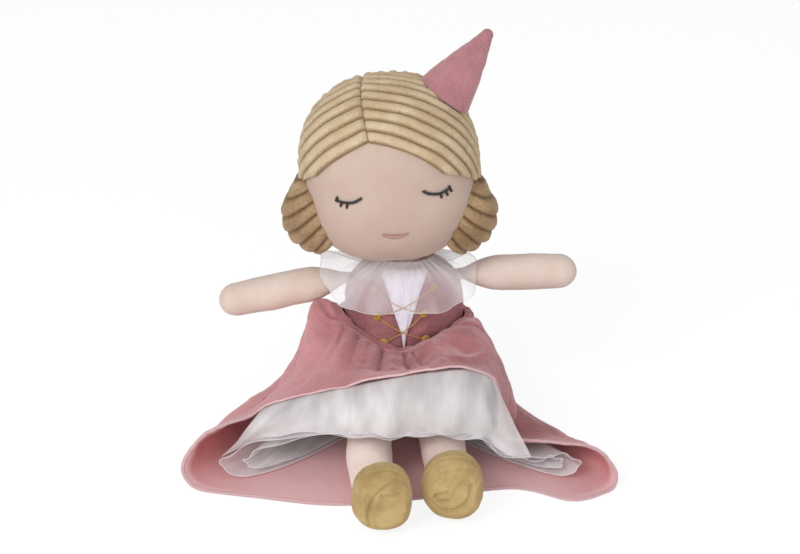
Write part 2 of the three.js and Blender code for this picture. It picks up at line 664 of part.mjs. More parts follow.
// A block that fills all that lies in front of the shoe's flat front.
function inFrontOfShoe(shoe) {
  const size = 60;
  const block = new THREE.BoxGeometry(size, size, size).translate(0, -size / 2 - SOLE.depth, 0);
  return placeShoe(block, shoe);
}

function shoeUpper(side, legSolid) {
  const shoe = side > 0 ? LEFT_SHOE : RIGHT_SHOE;
  const box = new THREE.Box3().setFromBufferAttribute(legSolid.attributes.position);
  const middle = box.getCenter(point(0, 0, 0));
  const grow = 1 + SEAM_GAP / LEG.radius + 0.02;
  const wider = legSolid.clone().translate(-middle.x, 0, -middle.z).scale(grow, 1, grow);
  wider.translate(middle.x, -1.2 * SEAM_GAP, middle.z);
  return without(shoeBall(0, shoe), wider, legSolid, inFrontOfShoe(shoe));
}

function shoeSole(side) {
  const shoe = side > 0 ? LEFT_SHOE : RIGHT_SHOE;
  const sides = 24;
  const steps = [[0, 1], [-0.45, 1.03], [-0.8, 0.95], [-1, 0.6]];
  const rings = steps.map(([depth, size]) => {
    const ring = [];
    for (let i = 0; i < sides; i++) {
      const a = (-2 * Math.PI * i) / sides;
      const reach = SOLE.share * size;
      const y = -SOLE.depth - SEAM_GAP + depth * SOLE.thickness;
      ring.push(point(reach * SHOE.halfWidth * Math.cos(a), y, reach * SHOE.halfHeight * Math.sin(a)));
    }
    return ring;
  });
  return placeShoe(loft(rings.reverse()), shoe);
}

// The gown.

// Rows of points down the skirt, from the flare under the waist to the hem, going round from the
// middle of the front. The first number of a row is the angle at which it leaves the waist.
const SKIRT = [
  [0, point(0, -44, 57), point(0, -70, 62), point(-2, -93, 67.4)],
  [18, point(13, -42, 62), point(16, -68, 67), point(20, -91, 69.6)],
  [36, point(27, -35, 68), point(33, -62, 69), point(37, -85, 67.4)],
  [52, point(38, -25, 72), point(47, -52, 64), point(49, -82, 62)],
  [66, point(46, -16, 67), point(59, -50, 47), point(54, -78, 51)],
  [78, point(49, -11, 57), point(66, -54, 27), point(55, -75, 37)],
  [90, point(51, -5, 44), point(59, -58, 14), point(56, -74, 20.5)],
  [102, point(52, 1, 32), point(72, -52, 11), point(70, -79, 20)],
  [114, point(53, 7, 22), point(86, -52, 10), point(87, -85, 23)],
  [126, point(54, 12, 15), point(92, -50, 10), point(106, -90, 22.5)],
  [136, point(53, 18, 8), point(97, -48, 5.5), point(118, -96, 14)],
  [145, point(47, 22, 3), point(92, -46, 0.8), point(121, -100, 5)],
  [153, point(40, 27, 2.5), point(80, -45, 0), point(115, -107, 0)],
  [162, point(30, 31, 0), point(58, -46, 0), point(94, -117, 0)],
  [171, point(15, 33, 0), point(34, -48, 0), point(62, -103, 0)],
  [180, point(0, 34, 0), point(0, -50, 0), point(14, -114, 0)],
  [189, point(-15, 33, 0), point(-30, -48, 0), point(-38, -122, 0)],
  [198, point(-30, 31, 0), point(-58, -46, 0), point(-84, -113, 0)],
  [207, point(-41, 28, 3), point(-79, -45, 0), point(-113, -106, 0)],
  [216, point(-49, 24, 10), point(-92, -46, 2), point(-124, -100, 4)],
  [227, point(-54, 18, 22), point(-97, -46, 9), point(-126.3, -95, 11)],
  [239, point(-55, 11, 34), point(-100, -46, 22), point(-122, -90, 20)],
  [253, point(-55, 3, 46.5), point(-82, -46, 27), point(-110.5, -85, 29.5)],
  [266, point(-55.5, -6, 58), point(-78, -44, 30.5), point(-93.5, -80, 34.5)],
  [279, point(-54, -9, 73), point(-65, -40, 44), point(-77, -77, 42)],
  [294, point(-46, -18, 75), point(-58, -46, 53), point(-59, -80, 48.5)],
  [313, point(-35, -28, 69), point(-42, -56, 58), point(-42, -84, 54.4)],
  [336, point(-17, -39, 61), point(-22, -66, 60), point(-24, -89, 60.5)],
];
const LEFT_TIP_ROW = 10; // where the side seams run down
const RIGHT_TIP_ROW = 20;

// The petticoat under it, shorter at the sides and longer over the shins.
const PETTICOAT = [
  [0, point(0, -44, 47), point(1, -76, 45), point(0, -107, 35)],
  [24, point(18, -38, 50), point(24, -70, 49), point(24, -109, 37)],
  [48, point(33, -24, 52), point(43, -62, 46), point(44, -104, 32)],
  [64, point(39, -18, 46), point(49, -54, 27), point(55, -98, 20)],
  [80, point(42, -11, 38), point(56, -50, 9), point(70, -92, 14)],
  [106, point(44, 5, 22), point(71, -44, 8.5), point(92, -86, 14.5)],
  [136, point(43, 18, 9), point(78, -46, 4.6), point(101, -92, 9)],
  [152, point(34, 24, 3), point(66, -46, 1.9), point(86, -98, 1.9)],
  [166, point(18, 28, 2.8), point(32, -48, 1.9), point(44, -101, 1.9)],
  [180, point(0, 30, 2.8), point(0, -50, 1.9), point(2, -102, 1.9)],
  [194, point(-18, 28, 2.8), point(-32, -48, 1.9), point(-40, -101, 1.9)],
  [208, point(-34, 25, 3), point(-64, -46, 1.9), point(-88, -98, 1.9)],
  [224, point(-42, 20, 12), point(-76, -46, 5), point(-105, -90, 9)],
  [254, point(-46, 4, 34), point(-72, -46, 18), point(-94, -86, 17)],
  [282, point(-44, -10, 50), point(-56, -48, 36), point(-66, -90, 27)],
  [310, point(-34, -26, 54), point(-42, -60, 47), point(-44, -100, 33)],
  [336, point(-17, -38, 50), point(-22, -70, 46), point(-24, -109, 36)],
];
const PETTICOAT_LEFT_TIP_ROW = 6;
const PETTICOAT_RIGHT_TIP_ROW = 12;

// The rows of a gown layer with their first points on the waist seam, out from the body's skin.
const fromWaist = (rows, out, lower) =>
  rows.map(([degrees, ...points]) => [onTorso(degrees, waistHeight(degrees) - lower, out), ...points]);

const SIDE_SEAM = 0.7; // each panel stops this far from the middle of a side seam

// One panel of a gown layer, between two side seams.
function gownPanel(rows, out, lower, fromRow, toRow, stepsS, stepsT, thickness, floor) {
  const table = fromWaist(rows, out, lower);
  const step = 0.2;
  const openBy = (row, way, down) => {
    const width = onTable(table, row, down).distanceTo(onTable(table, row + way * step, down));
    return (step * SIDE_SEAM) / width;
  };
  const surface = (s, t) => {
    const down = 1 - t;
    const start = fromRow + openBy(fromRow, 1, down);
    const end = toRow - openBy(toRow, -1, down);
    const p = onTable(table, start + (end - start) * s, down);
    p.z = Math.max(p.z, floor);
    return p;
  };
  return panel(surface, stepsS, stepsT, -thickness, thickness, false, floor);
}

const SKIRT_OUT = 2.5 * SEAM_GAP + BODICE_CLOTH + VELOUR;
const PETTICOAT_OUT = 2 * SEAM_GAP + TULLE;
const PETTICOAT_SEAM_BELOW = 4.5; // below the skirt's waist seam

function skirtFront() {
  const end = SKIRT.length + LEFT_TIP_ROW;
  return gownPanel(SKIRT, SKIRT_OUT, 0, RIGHT_TIP_ROW, end, 36, 10, VELOUR, 0);
}

function skirtBack() {
  return gownPanel(SKIRT, SKIRT_OUT, 0, LEFT_TIP_ROW, RIGHT_TIP_ROW, 22, 10, VELOUR, 0);
}

const PETTICOAT_FLOOR = VELOUR + 2 * SEAM_GAP;

function petticoatFront() {
  const end = PETTICOAT.length + PETTICOAT_LEFT_TIP_ROW;
  return gownPanel(PETTICOAT, PETTICOAT_OUT, PETTICOAT_SEAM_BELOW, PETTICOAT_RIGHT_TIP_ROW, end, 26, 8,
    TULLE, PETTICOAT_FLOOR);
}

function petticoatBack() {
  return gownPanel(PETTICOAT, PETTICOAT_OUT, PETTICOAT_SEAM_BELOW, PETTICOAT_LEFT_TIP_ROW,
    PETTICOAT_RIGHT_TIP_ROW, 18, 8, TULLE, PETTICOAT_FLOOR);
}

// Putting the doll together.

const doll = new THREE.Group();

function add(name, geometry, material, parent = doll) {
  const mesh = new THREE.Mesh(geometry, MATERIALS[material]);
  mesh.name = name;
  parent.add(mesh);
  return mesh;
}

// An arm and the tab that it hangs on, in a group at the shoulder.
function addArm(name, side, length, rise, forward) {
  const shoulder = new THREE.Group();
  shoulder.position.copy(shoulderPivot(side));
  shoulder.rotation.set(0, radians(-rise), side > 0 ? 0 : Math.PI, "ZYX");
  doll.add(shoulder);
  add(`${name}_shoulder_tab`, tab(), "skin", shoulder);
  const outer = new THREE.Group();
  outer.position.x = TAB.reach;
  outer.rotation.z = radians(-side * forward);
  shoulder.add(outer);
  add(`${name}_arm`, arm(length, ARM.radius, forward), "skin", outer);
}

function addLeg(name, side) {
  const hip = tab().rotateZ(-Math.PI / 2);
  const pivot = hipPivot(side);
  add(`${name}_hip_tab`, hip.translate(pivot.x, pivot.y, pivot.z), "skin");
  const limb = leg(side);
  add(`${name}_leg`, limb, "skin");
  add(`${name}_shoe`, shoeUpper(side, limb), "gold");
  add(`${name}_sole`, shoeSole(side), "gold");
}

add("torso", torso(), "skin");
add("bodice_front", without(bodicePanel(true), neckSocket(), ...seamGrooves()), "bodice");
add("bodice_back", without(bodicePanel(false), neckSocket(), ...seamGrooves()), "bodice");
add("front_insert", frontInsert(), "white");
add("collar", collar(), "tulle");
add("neck", neck(), "skin");
add("head", head(), "skin");
add("left_front_hair", frontHair(1), "hair");
add("right_front_hair", frontHair(-1), "hair");
add("back_hair", backHair(), "hair");
add("hat", hat(), "hat");
add("left_bun", bun(1), "hair");
add("right_bun", bun(-1), "hair");
addArm("left", 1, ARM.leftLength, LEFT_ARM_RISE_DEG, 0);
addArm("right", -1, ARM.rightLength, RIGHT_ARM_RISE_DEG, RIGHT_ARM_FORWARD_DEG);
addLeg("left", 1);
addLeg("right", -1);
add("petticoat_front", petticoatFront(), "tulle");
add("petticoat_back", petticoatBack(), "tulle");
add("skirt_front", skirtFront(), "skirt");
add("skirt_back", skirtBack(), "skirt");

export default doll;
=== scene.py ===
# The looks of the seated doll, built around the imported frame.
# Shapes are worked out in millimetres, in the frame's own axes, and become metres in Shape.make.
import math

import bmesh
import bpy
import numpy as np
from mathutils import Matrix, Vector


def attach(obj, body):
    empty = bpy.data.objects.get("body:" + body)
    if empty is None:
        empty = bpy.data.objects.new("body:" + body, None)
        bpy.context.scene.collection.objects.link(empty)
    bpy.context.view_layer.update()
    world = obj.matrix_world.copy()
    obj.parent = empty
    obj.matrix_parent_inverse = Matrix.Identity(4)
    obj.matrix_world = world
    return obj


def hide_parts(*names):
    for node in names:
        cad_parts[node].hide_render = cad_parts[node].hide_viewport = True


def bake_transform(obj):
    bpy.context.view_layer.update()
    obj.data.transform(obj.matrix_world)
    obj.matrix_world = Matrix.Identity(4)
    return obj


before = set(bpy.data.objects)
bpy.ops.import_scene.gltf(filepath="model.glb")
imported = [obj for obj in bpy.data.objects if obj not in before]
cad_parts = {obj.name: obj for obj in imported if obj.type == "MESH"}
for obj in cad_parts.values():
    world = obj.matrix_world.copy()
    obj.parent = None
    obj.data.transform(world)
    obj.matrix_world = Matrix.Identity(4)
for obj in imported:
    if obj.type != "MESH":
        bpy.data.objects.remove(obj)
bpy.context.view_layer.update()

MM = 0.001

# The sizes that part.mjs gives the solids, repeated here. Only the waist is lower at its sides.
SEAM_GAP = 0.3
WAIST_FRONT, WAIST_SIDE, WAIST_BACK = 53, 67, 70
TORSO_LEVELS = [3.5, 6, 11, 22, 38, 55, 72, 84, 91, 97, 102]
TORSO_HALF_WIDTHS = [22, 31, 35, 38, 36.5, 34.3, 34.2, 33, 30, 24, 15]
TORSO_HALF_DEPTHS = [17, 23, 26, 28.3, 28, 27, 26, 24, 22, 19, 14]
TORSO_TOP = 102
NECK_BALL_HEIGHT, NECK_BALL_RADIUS, NECK_STEM_RADIUS = 97, 12, 8.5
HEAD_CENTRE = np.array([-8.5, -4, 158.5])
HEAD_HALF = np.array([49.3, 45, 52.5])
HEAD_SQUARENESS_CHIN, HEAD_SQUARENESS_TOP = 2.7, 2.2
HEAD_ROLL = math.radians(4.4)
HAIR_BASE, RIB_HEIGHT = 2.2, 1.7
CORONAL_SEAM_Y = 6
HAT_AXIS = np.array([0.57, 0.067, 0.822])
HAT_FOOT = np.array([19.5, -4.5, 197.1])
SHOULDER_HEIGHT = {1: 90.3, -1: 88}
TAB_KNUCKLE, TAB_REACH = 2.2, 6.5
HIP_X, HIP_Z = 17, 13.4

SIDE_NAMES = {1: "left", -1: "right"}  # the doll's own, with its left towards x


# Numbers and curves.

def vec(*values):
    return np.array(values, float)


def stack(*parts):
    """Points, or places on a map, from arrays of their coordinates."""
    return np.stack(np.broadcast_arrays(*parts), axis=-1)


def full_turn(count):
    return np.linspace(0, 2 * np.pi, count, endpoint=False)


def length_along(path):
    return np.concatenate([[0], np.cumsum(np.linalg.norm(np.diff(path, axis=0), axis=1))])


def unit(v):
    return v / np.maximum(np.linalg.norm(v, axis=-1, keepdims=True), 1e-12)


def soft_step(low, high, x):
    """From 0 at low to 1 at high, which may be the lower number, with soft ends."""
    t = np.clip((np.asarray(x, float) - low) / (high - low), 0, 1)
    return t * t * (3 - 2 * t)


def bell(x, middle, width):
    """1 at the middle, falling off to both sides."""
    return np.exp(-((np.asarray(x, float) - middle) / width) ** 2)


def smooth(at, values, x):
    """One value that runs smoothly through the numbers in values, at the places in at."""
    at, values = np.array(at, float), np.array(values, float)
    x = np.clip(np.asarray(x, float), at[0], at[-1])
    slopes = np.empty(len(at))
    slopes[1:-1] = (values[2:] - values[:-2]) / (at[2:] - at[:-2])
    slopes[0] = (values[1] - values[0]) / (at[1] - at[0])
    slopes[-1] = (values[-1] - values[-2]) / (at[-1] - at[-2])
    k = np.clip(np.searchsorted(at, x, side="right") - 1, 0, len(at) - 2)
    width = at[k + 1] - at[k]
    t = (x - at[k]) / width
    return ((2 * t**3 - 3 * t**2 + 1) * values[k] + (t**3 - 2 * t**2 + t) * width * slopes[k]
            + (3 * t**2 - 2 * t**3) * values[k + 1] + (t**3 - t**2) * width * slopes[k + 1])


def between(p0, p1, p2, p3, t):
    """On a smooth curve from p1, where t is 0, to p2, where it's 1, with p0 and p3 beyond them."""
    return 0.5 * (2 * p1 + (p2 - p0) * t + (2 * p0 - 5 * p1 + 4 * p2 - p3) * t**2
                  + (3 * p1 - p0 - 3 * p2 + p3) * t**3)


def on_table(table, along, down):
    """Points on a smooth surface through rows of points. It joins up along the table."""
    along, down = np.broadcast_arrays(np.asarray(along, float), np.asarray(down, float))
    rows, last = table.shape[0], table.shape[1] - 1
    row = np.floor(along).astype(int)
    place = np.clip(down, 0, 1) * last
    i = np.minimum(place.astype(int), last - 1)
    across, inside = (place - i)[..., None], (along - row)[..., None]

    def on_row(k):
        p = [table[k % rows, np.clip(i + n, 0, last)] for n in (-1, 0, 1, 2)]
        return between(*p, across)

    return between(on_row(row - 1), on_row(row), on_row(row + 1), on_row(row + 2), inside)


def curve(points, count, closed=False):
    """A smooth curve through points, as count points."""
    table = np.array(points, float)
    last = len(table) if closed else len(table) - 1
    t = np.linspace(0, last, count, endpoint=not closed)
    i = np.minimum(t.astype(int), last - 1)

    def pick(n):
        return table[(i + n) % last] if closed else table[np.clip(i + n, 0, last)]

    return between(pick(-1), pick(0), pick(1), pick(2), (t - i)[:, None])


def wobble(points, size, seed):
    """Gentle irregular waves of about one wavelength, size, between -1 and 1 or so."""
    random = np.random.default_rng(seed)
    total = 0
    for _ in range(9):
        way = unit(random.normal(size=3)) * 2 * np.pi / (size * random.uniform(0.7, 1.5))
        total = total + np.sin(points @ way + random.uniform(0, 2 * np.pi))
    return total / 3.5


def normals_of(grid, wrap):
    """Unit normals of a grid of points: along the columns, times along the rows."""
    if wrap:
        across = np.roll(grid, -1, axis=1) - np.roll(grid, 1, axis=1)
    else:
        across = np.gradient(grid, axis=1)
    return unit(np.cross(across, np.gradient(grid, axis=0)))


# Meshes.

class Shape:
    """Points and faces, gathered piece by piece into one mesh."""

    def __init__(self):
        self.points, self.faces, self.slots, self.coords = [], [], [], []
        self.count = 0

    def add(self, points, faces, slot=0, coords=None):
        points = np.asarray(points, float).reshape(-1, 3)
        faces = [tuple(int(i) + self.count for i in face) for face in faces]
        slots = np.broadcast_to(np.asarray(slot), (len(faces),))
        self.points.append(points)
        self.faces += faces
        self.slots += [int(s) for s in slots]
        self.coords.append(np.zeros((len(points), 2)) if coords is None else coords.reshape(-1, 2))
        self.count += len(points)

    def loft(self, rings, slot=0, coords=None):
        """A closed body through rings of points that run round the way of travel."""
        rows, columns = rings.shape[:2]
        ends = [rings[0].mean(axis=0), rings[-1].mean(axis=0)]
        faces = quads(rows, columns, True).tolist()
        low, high = rows * columns, rows * columns + 1
        top = (rows - 1) * columns
        fans = [(low, (j + 1) % columns, j) for j in range(columns)]
        fans += [(high, top + j, top + (j + 1) % columns) for j in range(columns)]
        if not np.isscalar(slot):
            slot = np.concatenate([np.ravel(slot), np.full(columns, np.ravel(slot)[0]),
                                   np.full(columns, np.ravel(slot)[-1])])
        if coords is not None:
            coords = np.concatenate([coords.reshape(-1, 2), coords[0, :1], coords[-1, :1]])
        self.add(np.concatenate([rings.reshape(-1, 3), ends]), faces + fans, slot, coords)

    def cloth(self, outer, thickness, wrap=False, floor=None, slots=(0, 0, 0), coords=None):
        """A thin cloth with an outer and an inner face and an edge, from the grid of its outer face.
        The cloth lies on the side that the grid's normal points away from."""
        inner = outer - thickness * normals_of(outer, wrap)
        if floor is not None:
            outer, inner = outer.copy(), inner.copy()
            inner[..., 2] = np.maximum(inner[..., 2], floor + 0.4 * thickness)
            outer[..., 2] = np.maximum(outer[..., 2], floor)
        rows, columns = outer.shape[:2]
        size = rows * columns
        faces = quads(rows, columns, wrap).tolist()
        kinds = [slots[0]] * len(faces)
        back = (quads(rows, columns, wrap, True) + size).tolist()
        faces += back
        kinds += [slots[1]] * len(back)
        first = len(faces)
        for j in range(columns if wrap else columns - 1):
            k = (j + 1) % columns
            faces.append((k, j, j + size, k + size))
            a, b = (rows - 1) * columns + j, (rows - 1) * columns + k
            faces.append((a, b, b + size, a + size))
        if not wrap:
            for i in range(rows - 1):
                a, b = i * columns, (i + 1) * columns
                faces.append((a, b, b + size, a + size))
                a, b = a + columns - 1, b + columns - 1
                faces.append((b, a, a + size, b + size))
        kinds += [slots[2]] * (len(faces) - first)
        both = None if coords is None else np.concatenate([coords.reshape(-1, 2)] * 2)
        self.add(np.concatenate([outer.reshape(-1, 3), inner.reshape(-1, 3)]), faces, kinds, both)

    def tube(self, path, radius, up, sides=8, closed=False, twist=0.0, slot=0):
        """A thread along a path. up points out of the cloth that it lies on, and a thread with a
        twist has two plies that go round that many radians for each millimetre."""
        path = np.asarray(path, float)
        if closed:
            ahead = np.roll(path, -1, axis=0) - np.roll(path, 1, axis=0)
        else:
            ahead = np.gradient(path, axis=0)
        ahead = unit(ahead)
        side = unit(np.cross(ahead, np.broadcast_to(up, path.shape)))
        over = np.cross(side, ahead)
        length = length_along(path)
        angle = full_turn(sides)[None, :]
        size = np.broadcast_to(np.asarray(radius, float).reshape(-1, 1), (len(path), 1))
        if twist:
            size = size * (0.74 + 0.36 * np.abs(np.cos(angle - twist * length[:, None])))
        across = (size * np.cos(angle))[..., None] * side[:, None, :]
        lift = (size * np.sin(angle))[..., None] * over[:, None, :]
        rings = path[:, None, :] + across + lift
        if closed:
            rings = np.concatenate([rings, rings[:1]])
            rows = len(path)
            faces = quads(rows + 1, sides, True) % (rows * sides)
            self.add(rings[:-1], faces[:, ::-1], slot)
        else:
            self.loft(rings[:, ::-1], slot)

    def make(self, name, body, materials):
        mesh = bpy.data.meshes.new(name)
        points = np.concatenate(self.points) * MM
        mesh.from_pydata(points.tolist(), [], self.faces)
        for each in materials:
            mesh.materials.append(each)
        mesh.polygons.foreach_set("material_index", self.slots)
        mesh.polygons.foreach_set("use_smooth", [True] * len(self.faces))
        coords = np.concatenate(self.coords)
        if coords.any():
            layer = mesh.uv_layers.new(name="cloth")
            corners = np.empty(len(mesh.loops), int)
            mesh.loops.foreach_get("vertex_index", corners)
            layer.uv.foreach_set("vector", coords[corners].ravel())
        mesh.validate()
        mesh.update()
        piece = show(name, mesh)
        if body:
            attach(piece, body)
        return piece


def show(name, data):
    piece = bpy.data.objects.new(name, data)
    bpy.context.scene.collection.objects.link(piece)
    return piece


def quads(rows, columns, wrap=False, flip=False):
    """The faces of a grid of points, as the places of their corners."""
    i = np.arange(rows - 1)[:, None] * columns
    j = np.arange(columns if wrap else columns - 1)[None, :]
    k = (j + 1) % columns
    corners = [i + j, i + k, i + columns + k, i + columns + j]
    if flip:
        corners.reverse()
    return np.stack(corners, axis=-1).reshape(-1, 4)


# Materials. What is the same all over a surface is set on the shader's own sockets.

def colour(red, green, blue):
    """A colour as it is written on a screen, from 0 to 255, for Blender."""
    return [(c / 255 / 12.92) if c <= 10 else ((c / 255 + 0.055) / 1.055) ** 2.4
            for c in (red, green, blue)] + [1.0]


def shade(tone, share):
    return [min(1.0, c * share) for c in tone[:3]] + [1.0]


# The places of the mix node's sockets for its share and its colours.
MIX_COLOUR_INPUTS, MIX_COLOUR_OUTPUT = (0, 6, 7), 2


class Finish:
    """One material and its nodes."""

    def __init__(self, name, **shader):
        self.material = bpy.data.materials.new(name)
        self.material.use_nodes = True
        self.nodes, self.links = self.material.node_tree.nodes, self.material.node_tree.links
        self.shader = self.nodes["Principled BSDF"]
        for socket, value in shader.items():
            self.shader.inputs[socket.replace("_", " ")].default_value = value
        self.place = self.nodes.new("ShaderNodeTexCoord").outputs["Object"]

    def feed(self, socket, value):
        if isinstance(value, bpy.types.NodeSocket):
            self.links.new(value, socket)
        else:
            socket.default_value = value

    def put(self, kind, **values):
        node = self.nodes.new(kind)
        for name, value in values.items():
            name = name.replace("_", " ")
            self.feed(node.inputs[int(name)] if name.isdigit() else node.inputs[name], value)
        return node

    def cloth_place(self):
        """Where a point lies on its own cloth, from the map that its mesh brings."""
        node = self.nodes.new("ShaderNodeUVMap")
        node.uv_map = "cloth"
        return node.outputs["UV"]

    def axis(self, place, name):
        return self.put("ShaderNodeSeparateXYZ", Vector=place).outputs[name]

    def noise(self, size, detail=2.0, rough=0.55, place=None):
        """Noise with spots of about size, in millimetres."""
        values = dict(Vector=place or self.place, Scale=1 / (size * MM), Detail=detail, Roughness=rough)
        return self.put("ShaderNodeTexNoise", **values).outputs["Fac"]

    def stretched(self, place, by):
        scaled = self.put("ShaderNodeVectorMath", **{"0": place, "1": by})
        scaled.operation = "MULTIPLY"
        return scaled.outputs["Vector"]

    def levels(self, value, low, high, to_low=0.0, to_high=1.0):
        node = self.put("ShaderNodeMapRange", Value=value, From_Min=low, From_Max=high,
                        To_Min=to_low, To_Max=to_high)
        return node.outputs["Result"]

    def math(self, operation, first, second=0.0):
        node = self.put("ShaderNodeMath", **{"0": first, "1": second})
        node.operation = operation
        return node.outputs[0]

    def mix(self, amount, first, second):
        node = self.nodes.new("ShaderNodeMix")
        node.data_type = "RGBA"
        for number, value in zip(MIX_COLOUR_INPUTS, (amount, first, second)):
            self.feed(node.inputs[number], value)
        return node.outputs[MIX_COLOUR_OUTPUT]

    def bump(self, height, distance, strength=1.0, onto=None):
        node = self.put("ShaderNodeBump", Height=height, Distance=distance * MM, Strength=strength)
        if onto:
            self.links.new(onto, node.inputs["Normal"])
        return node.outputs["Normal"]

    def finish(self, base, normal, alpha=None):
        self.links.new(base, self.shader.inputs["Base Color"])
        self.links.new(normal, self.shader.inputs["Normal"])
        if alpha:
            self.links.new(alpha, self.shader.inputs["Alpha"])
        return self.material


# Towards the doll's right the velour's pile takes a paler colour, a painted sheen where the light falls: it starts
# at the first X and is full by the second, in metres.
PAINTED_SHEEN_FROM_X, PAINTED_SHEEN_TO_X = -24 * MM, -62 * MM
# How far the painted shade of a rib's valley reaches from the valley.
VALLEY_HALF_WIDTH = 0.22  # as a share of a rib


def plush(name, light, dark, patches, grain, sheen, tint, pile, depth, rough=0.9, valley=None,
          painted_sheen=None):
    """Short pile: soft patches where it was brushed another way, grains of pile, and a sheen.
    With a colour for its valleys it's ribbed: that colour is painted shade, and its map counts ribs from one
    valley to the next.
    Towards the doll's right the pile turns paler: a painted sheen, where the light falls on it."""
    light, dark, tint = colour(*light), colour(*dark), colour(*tint)
    f = Finish(name, Roughness=rough, Sheen_Weight=sheen, Sheen_Roughness=0.45, Sheen_Tint=tint,
               Specular_IOR_Level=0.12)
    brushed = f.levels(f.noise(patches, 4.0, 0.6), 0.36, 0.64)
    grains = f.noise(grain, 3.0, 0.75)
    base = f.mix(brushed, light, dark)
    # Painted sheen: paler pile towards the doll's right, where the light falls on it.
    if painted_sheen:
        ragged = f.levels(f.noise(24), 0.3, 0.7, -12 * MM, 12 * MM)
        across = f.math("ADD", f.axis(f.place, "X"), ragged)
        share = f.levels(across, PAINTED_SHEEN_FROM_X, PAINTED_SHEEN_TO_X, 0.0, 0.85)
        base = f.mix(share, base, colour(*painted_sheen))
    base = f.mix(f.levels(grains, 0.5, 0.3, 0.0, depth), base, shade(dark, 0.6))
    tips = f.noise(grain * 1.3, 2.0, 0.7)
    base = f.mix(f.levels(tips, 0.58, 0.72, 0.0, depth), base, shade(light, 1.18))
    # Painted shade in the valleys between the ribs.
    if valley:
        from_valley = f.math("PINGPONG", f.axis(f.cloth_place(), "X"), 0.5)
        ragged = f.math("ADD", from_valley, f.levels(grains, 0.3, 0.7, -0.035, 0.035))
        base = f.mix(f.levels(ragged, VALLEY_HALF_WIDTH, 0.0, 0.0, 0.95), base, colour(*valley))
    tufts = f.bump(f.noise(grain * 2.6), pile * 1.2, 0.8)
    return f.finish(base, f.bump(grains, pile, 0.9, tufts))


def knit_back():
    """The wrong side of the velour: a fine knit, with painted shade that makes it darker and redder deep in a fold
    than where it lies open.
    """
    f = Finish("knit_back", Roughness=0.85, Sheen_Weight=0.2, Sheen_Tint=colour(255, 225, 228),
               Specular_IOR_Level=0.1)
    uneven = f.levels(f.noise(20), 0.3, 0.7, -0.05, 0.05)
    uneven = f.math("ADD", f.axis(f.cloth_place(), "Y"), uneven)
    # Painted shade: deep red in the folds, paler where the knit lies open or near the hem.
    base = f.mix(f.levels(uneven, 0.1, 0.9), colour(190, 104, 104), colour(232, 188, 190))
    loops = f.noise(0.6)
    base = f.mix(f.levels(loops, 0.4, 0.65, 0.0, 0.2), base, colour(180, 120, 124))
    return f.finish(base, f.bump(loops, 0.1))


NET_STREAKS = (MM, 0.22 * MM, 0)  # a net's streaks run down its cloth


def thread(name, tone, rough=0.5, metallic=0.0):
    f = Finish(name, Roughness=rough, Metallic=metallic, Sheen_Weight=0.15)
    strands = f.noise(0.35)
    tone = colour(*tone)
    base = f.mix(f.levels(strands, 0.35, 0.65, 0.0, 0.6), tone, shade(tone, 0.45))
    return f.finish(base, f.bump(strands, 0.12))


def net(name, tone, cover, cell, dense=None):
    """Fine net: threads round small open cells, laid out along the cloth's own directions. cover is
    the share that the threads hide, and dense is how far down from its seam it's gathered closer."""
    f = Finish(name, Roughness=0.8, Sheen_Weight=0.25, Specular_IOR_Level=0.2)
    cloth = f.cloth_place()
    waves = []
    for turn in (0, 60, 120):
        way = (math.cos(math.radians(turn)), math.sin(math.radians(turn)), 0)
        dot = f.put("ShaderNodeVectorMath", **{"0": cloth, "1": way})
        dot.operation = "DOT_PRODUCT"
        waves.append(f.math("COSINE", f.math("MULTIPLY", dot.outputs["Value"], 2 * math.pi / cell)))
    total = f.math("ADD", f.math("ADD", waves[0], waves[1]), waves[2])
    threads = f.levels(total, 0.8, -1.0)
    hidden = f.levels(threads, 0, 1, cover - 0.09, cover + 0.09)
    streaks = f.noise(19, 2.5, 0.5, place=f.stretched(cloth, NET_STREAKS))
    hidden = f.math("ADD", hidden, f.levels(streaks, 0.4, 0.7, -0.07, 0.2))
    if dense:
        hidden = f.math("ADD", hidden, f.levels(f.axis(cloth, "Y"), 0, dense, 0.3, 0.0))
    tone = colour(*tone)
    base = f.mix(f.levels(f.noise(9), 0.35, 0.65), tone, shade(tone, 0.95))
    return f.finish(base, f.bump(threads, 0.05), alpha=hidden)


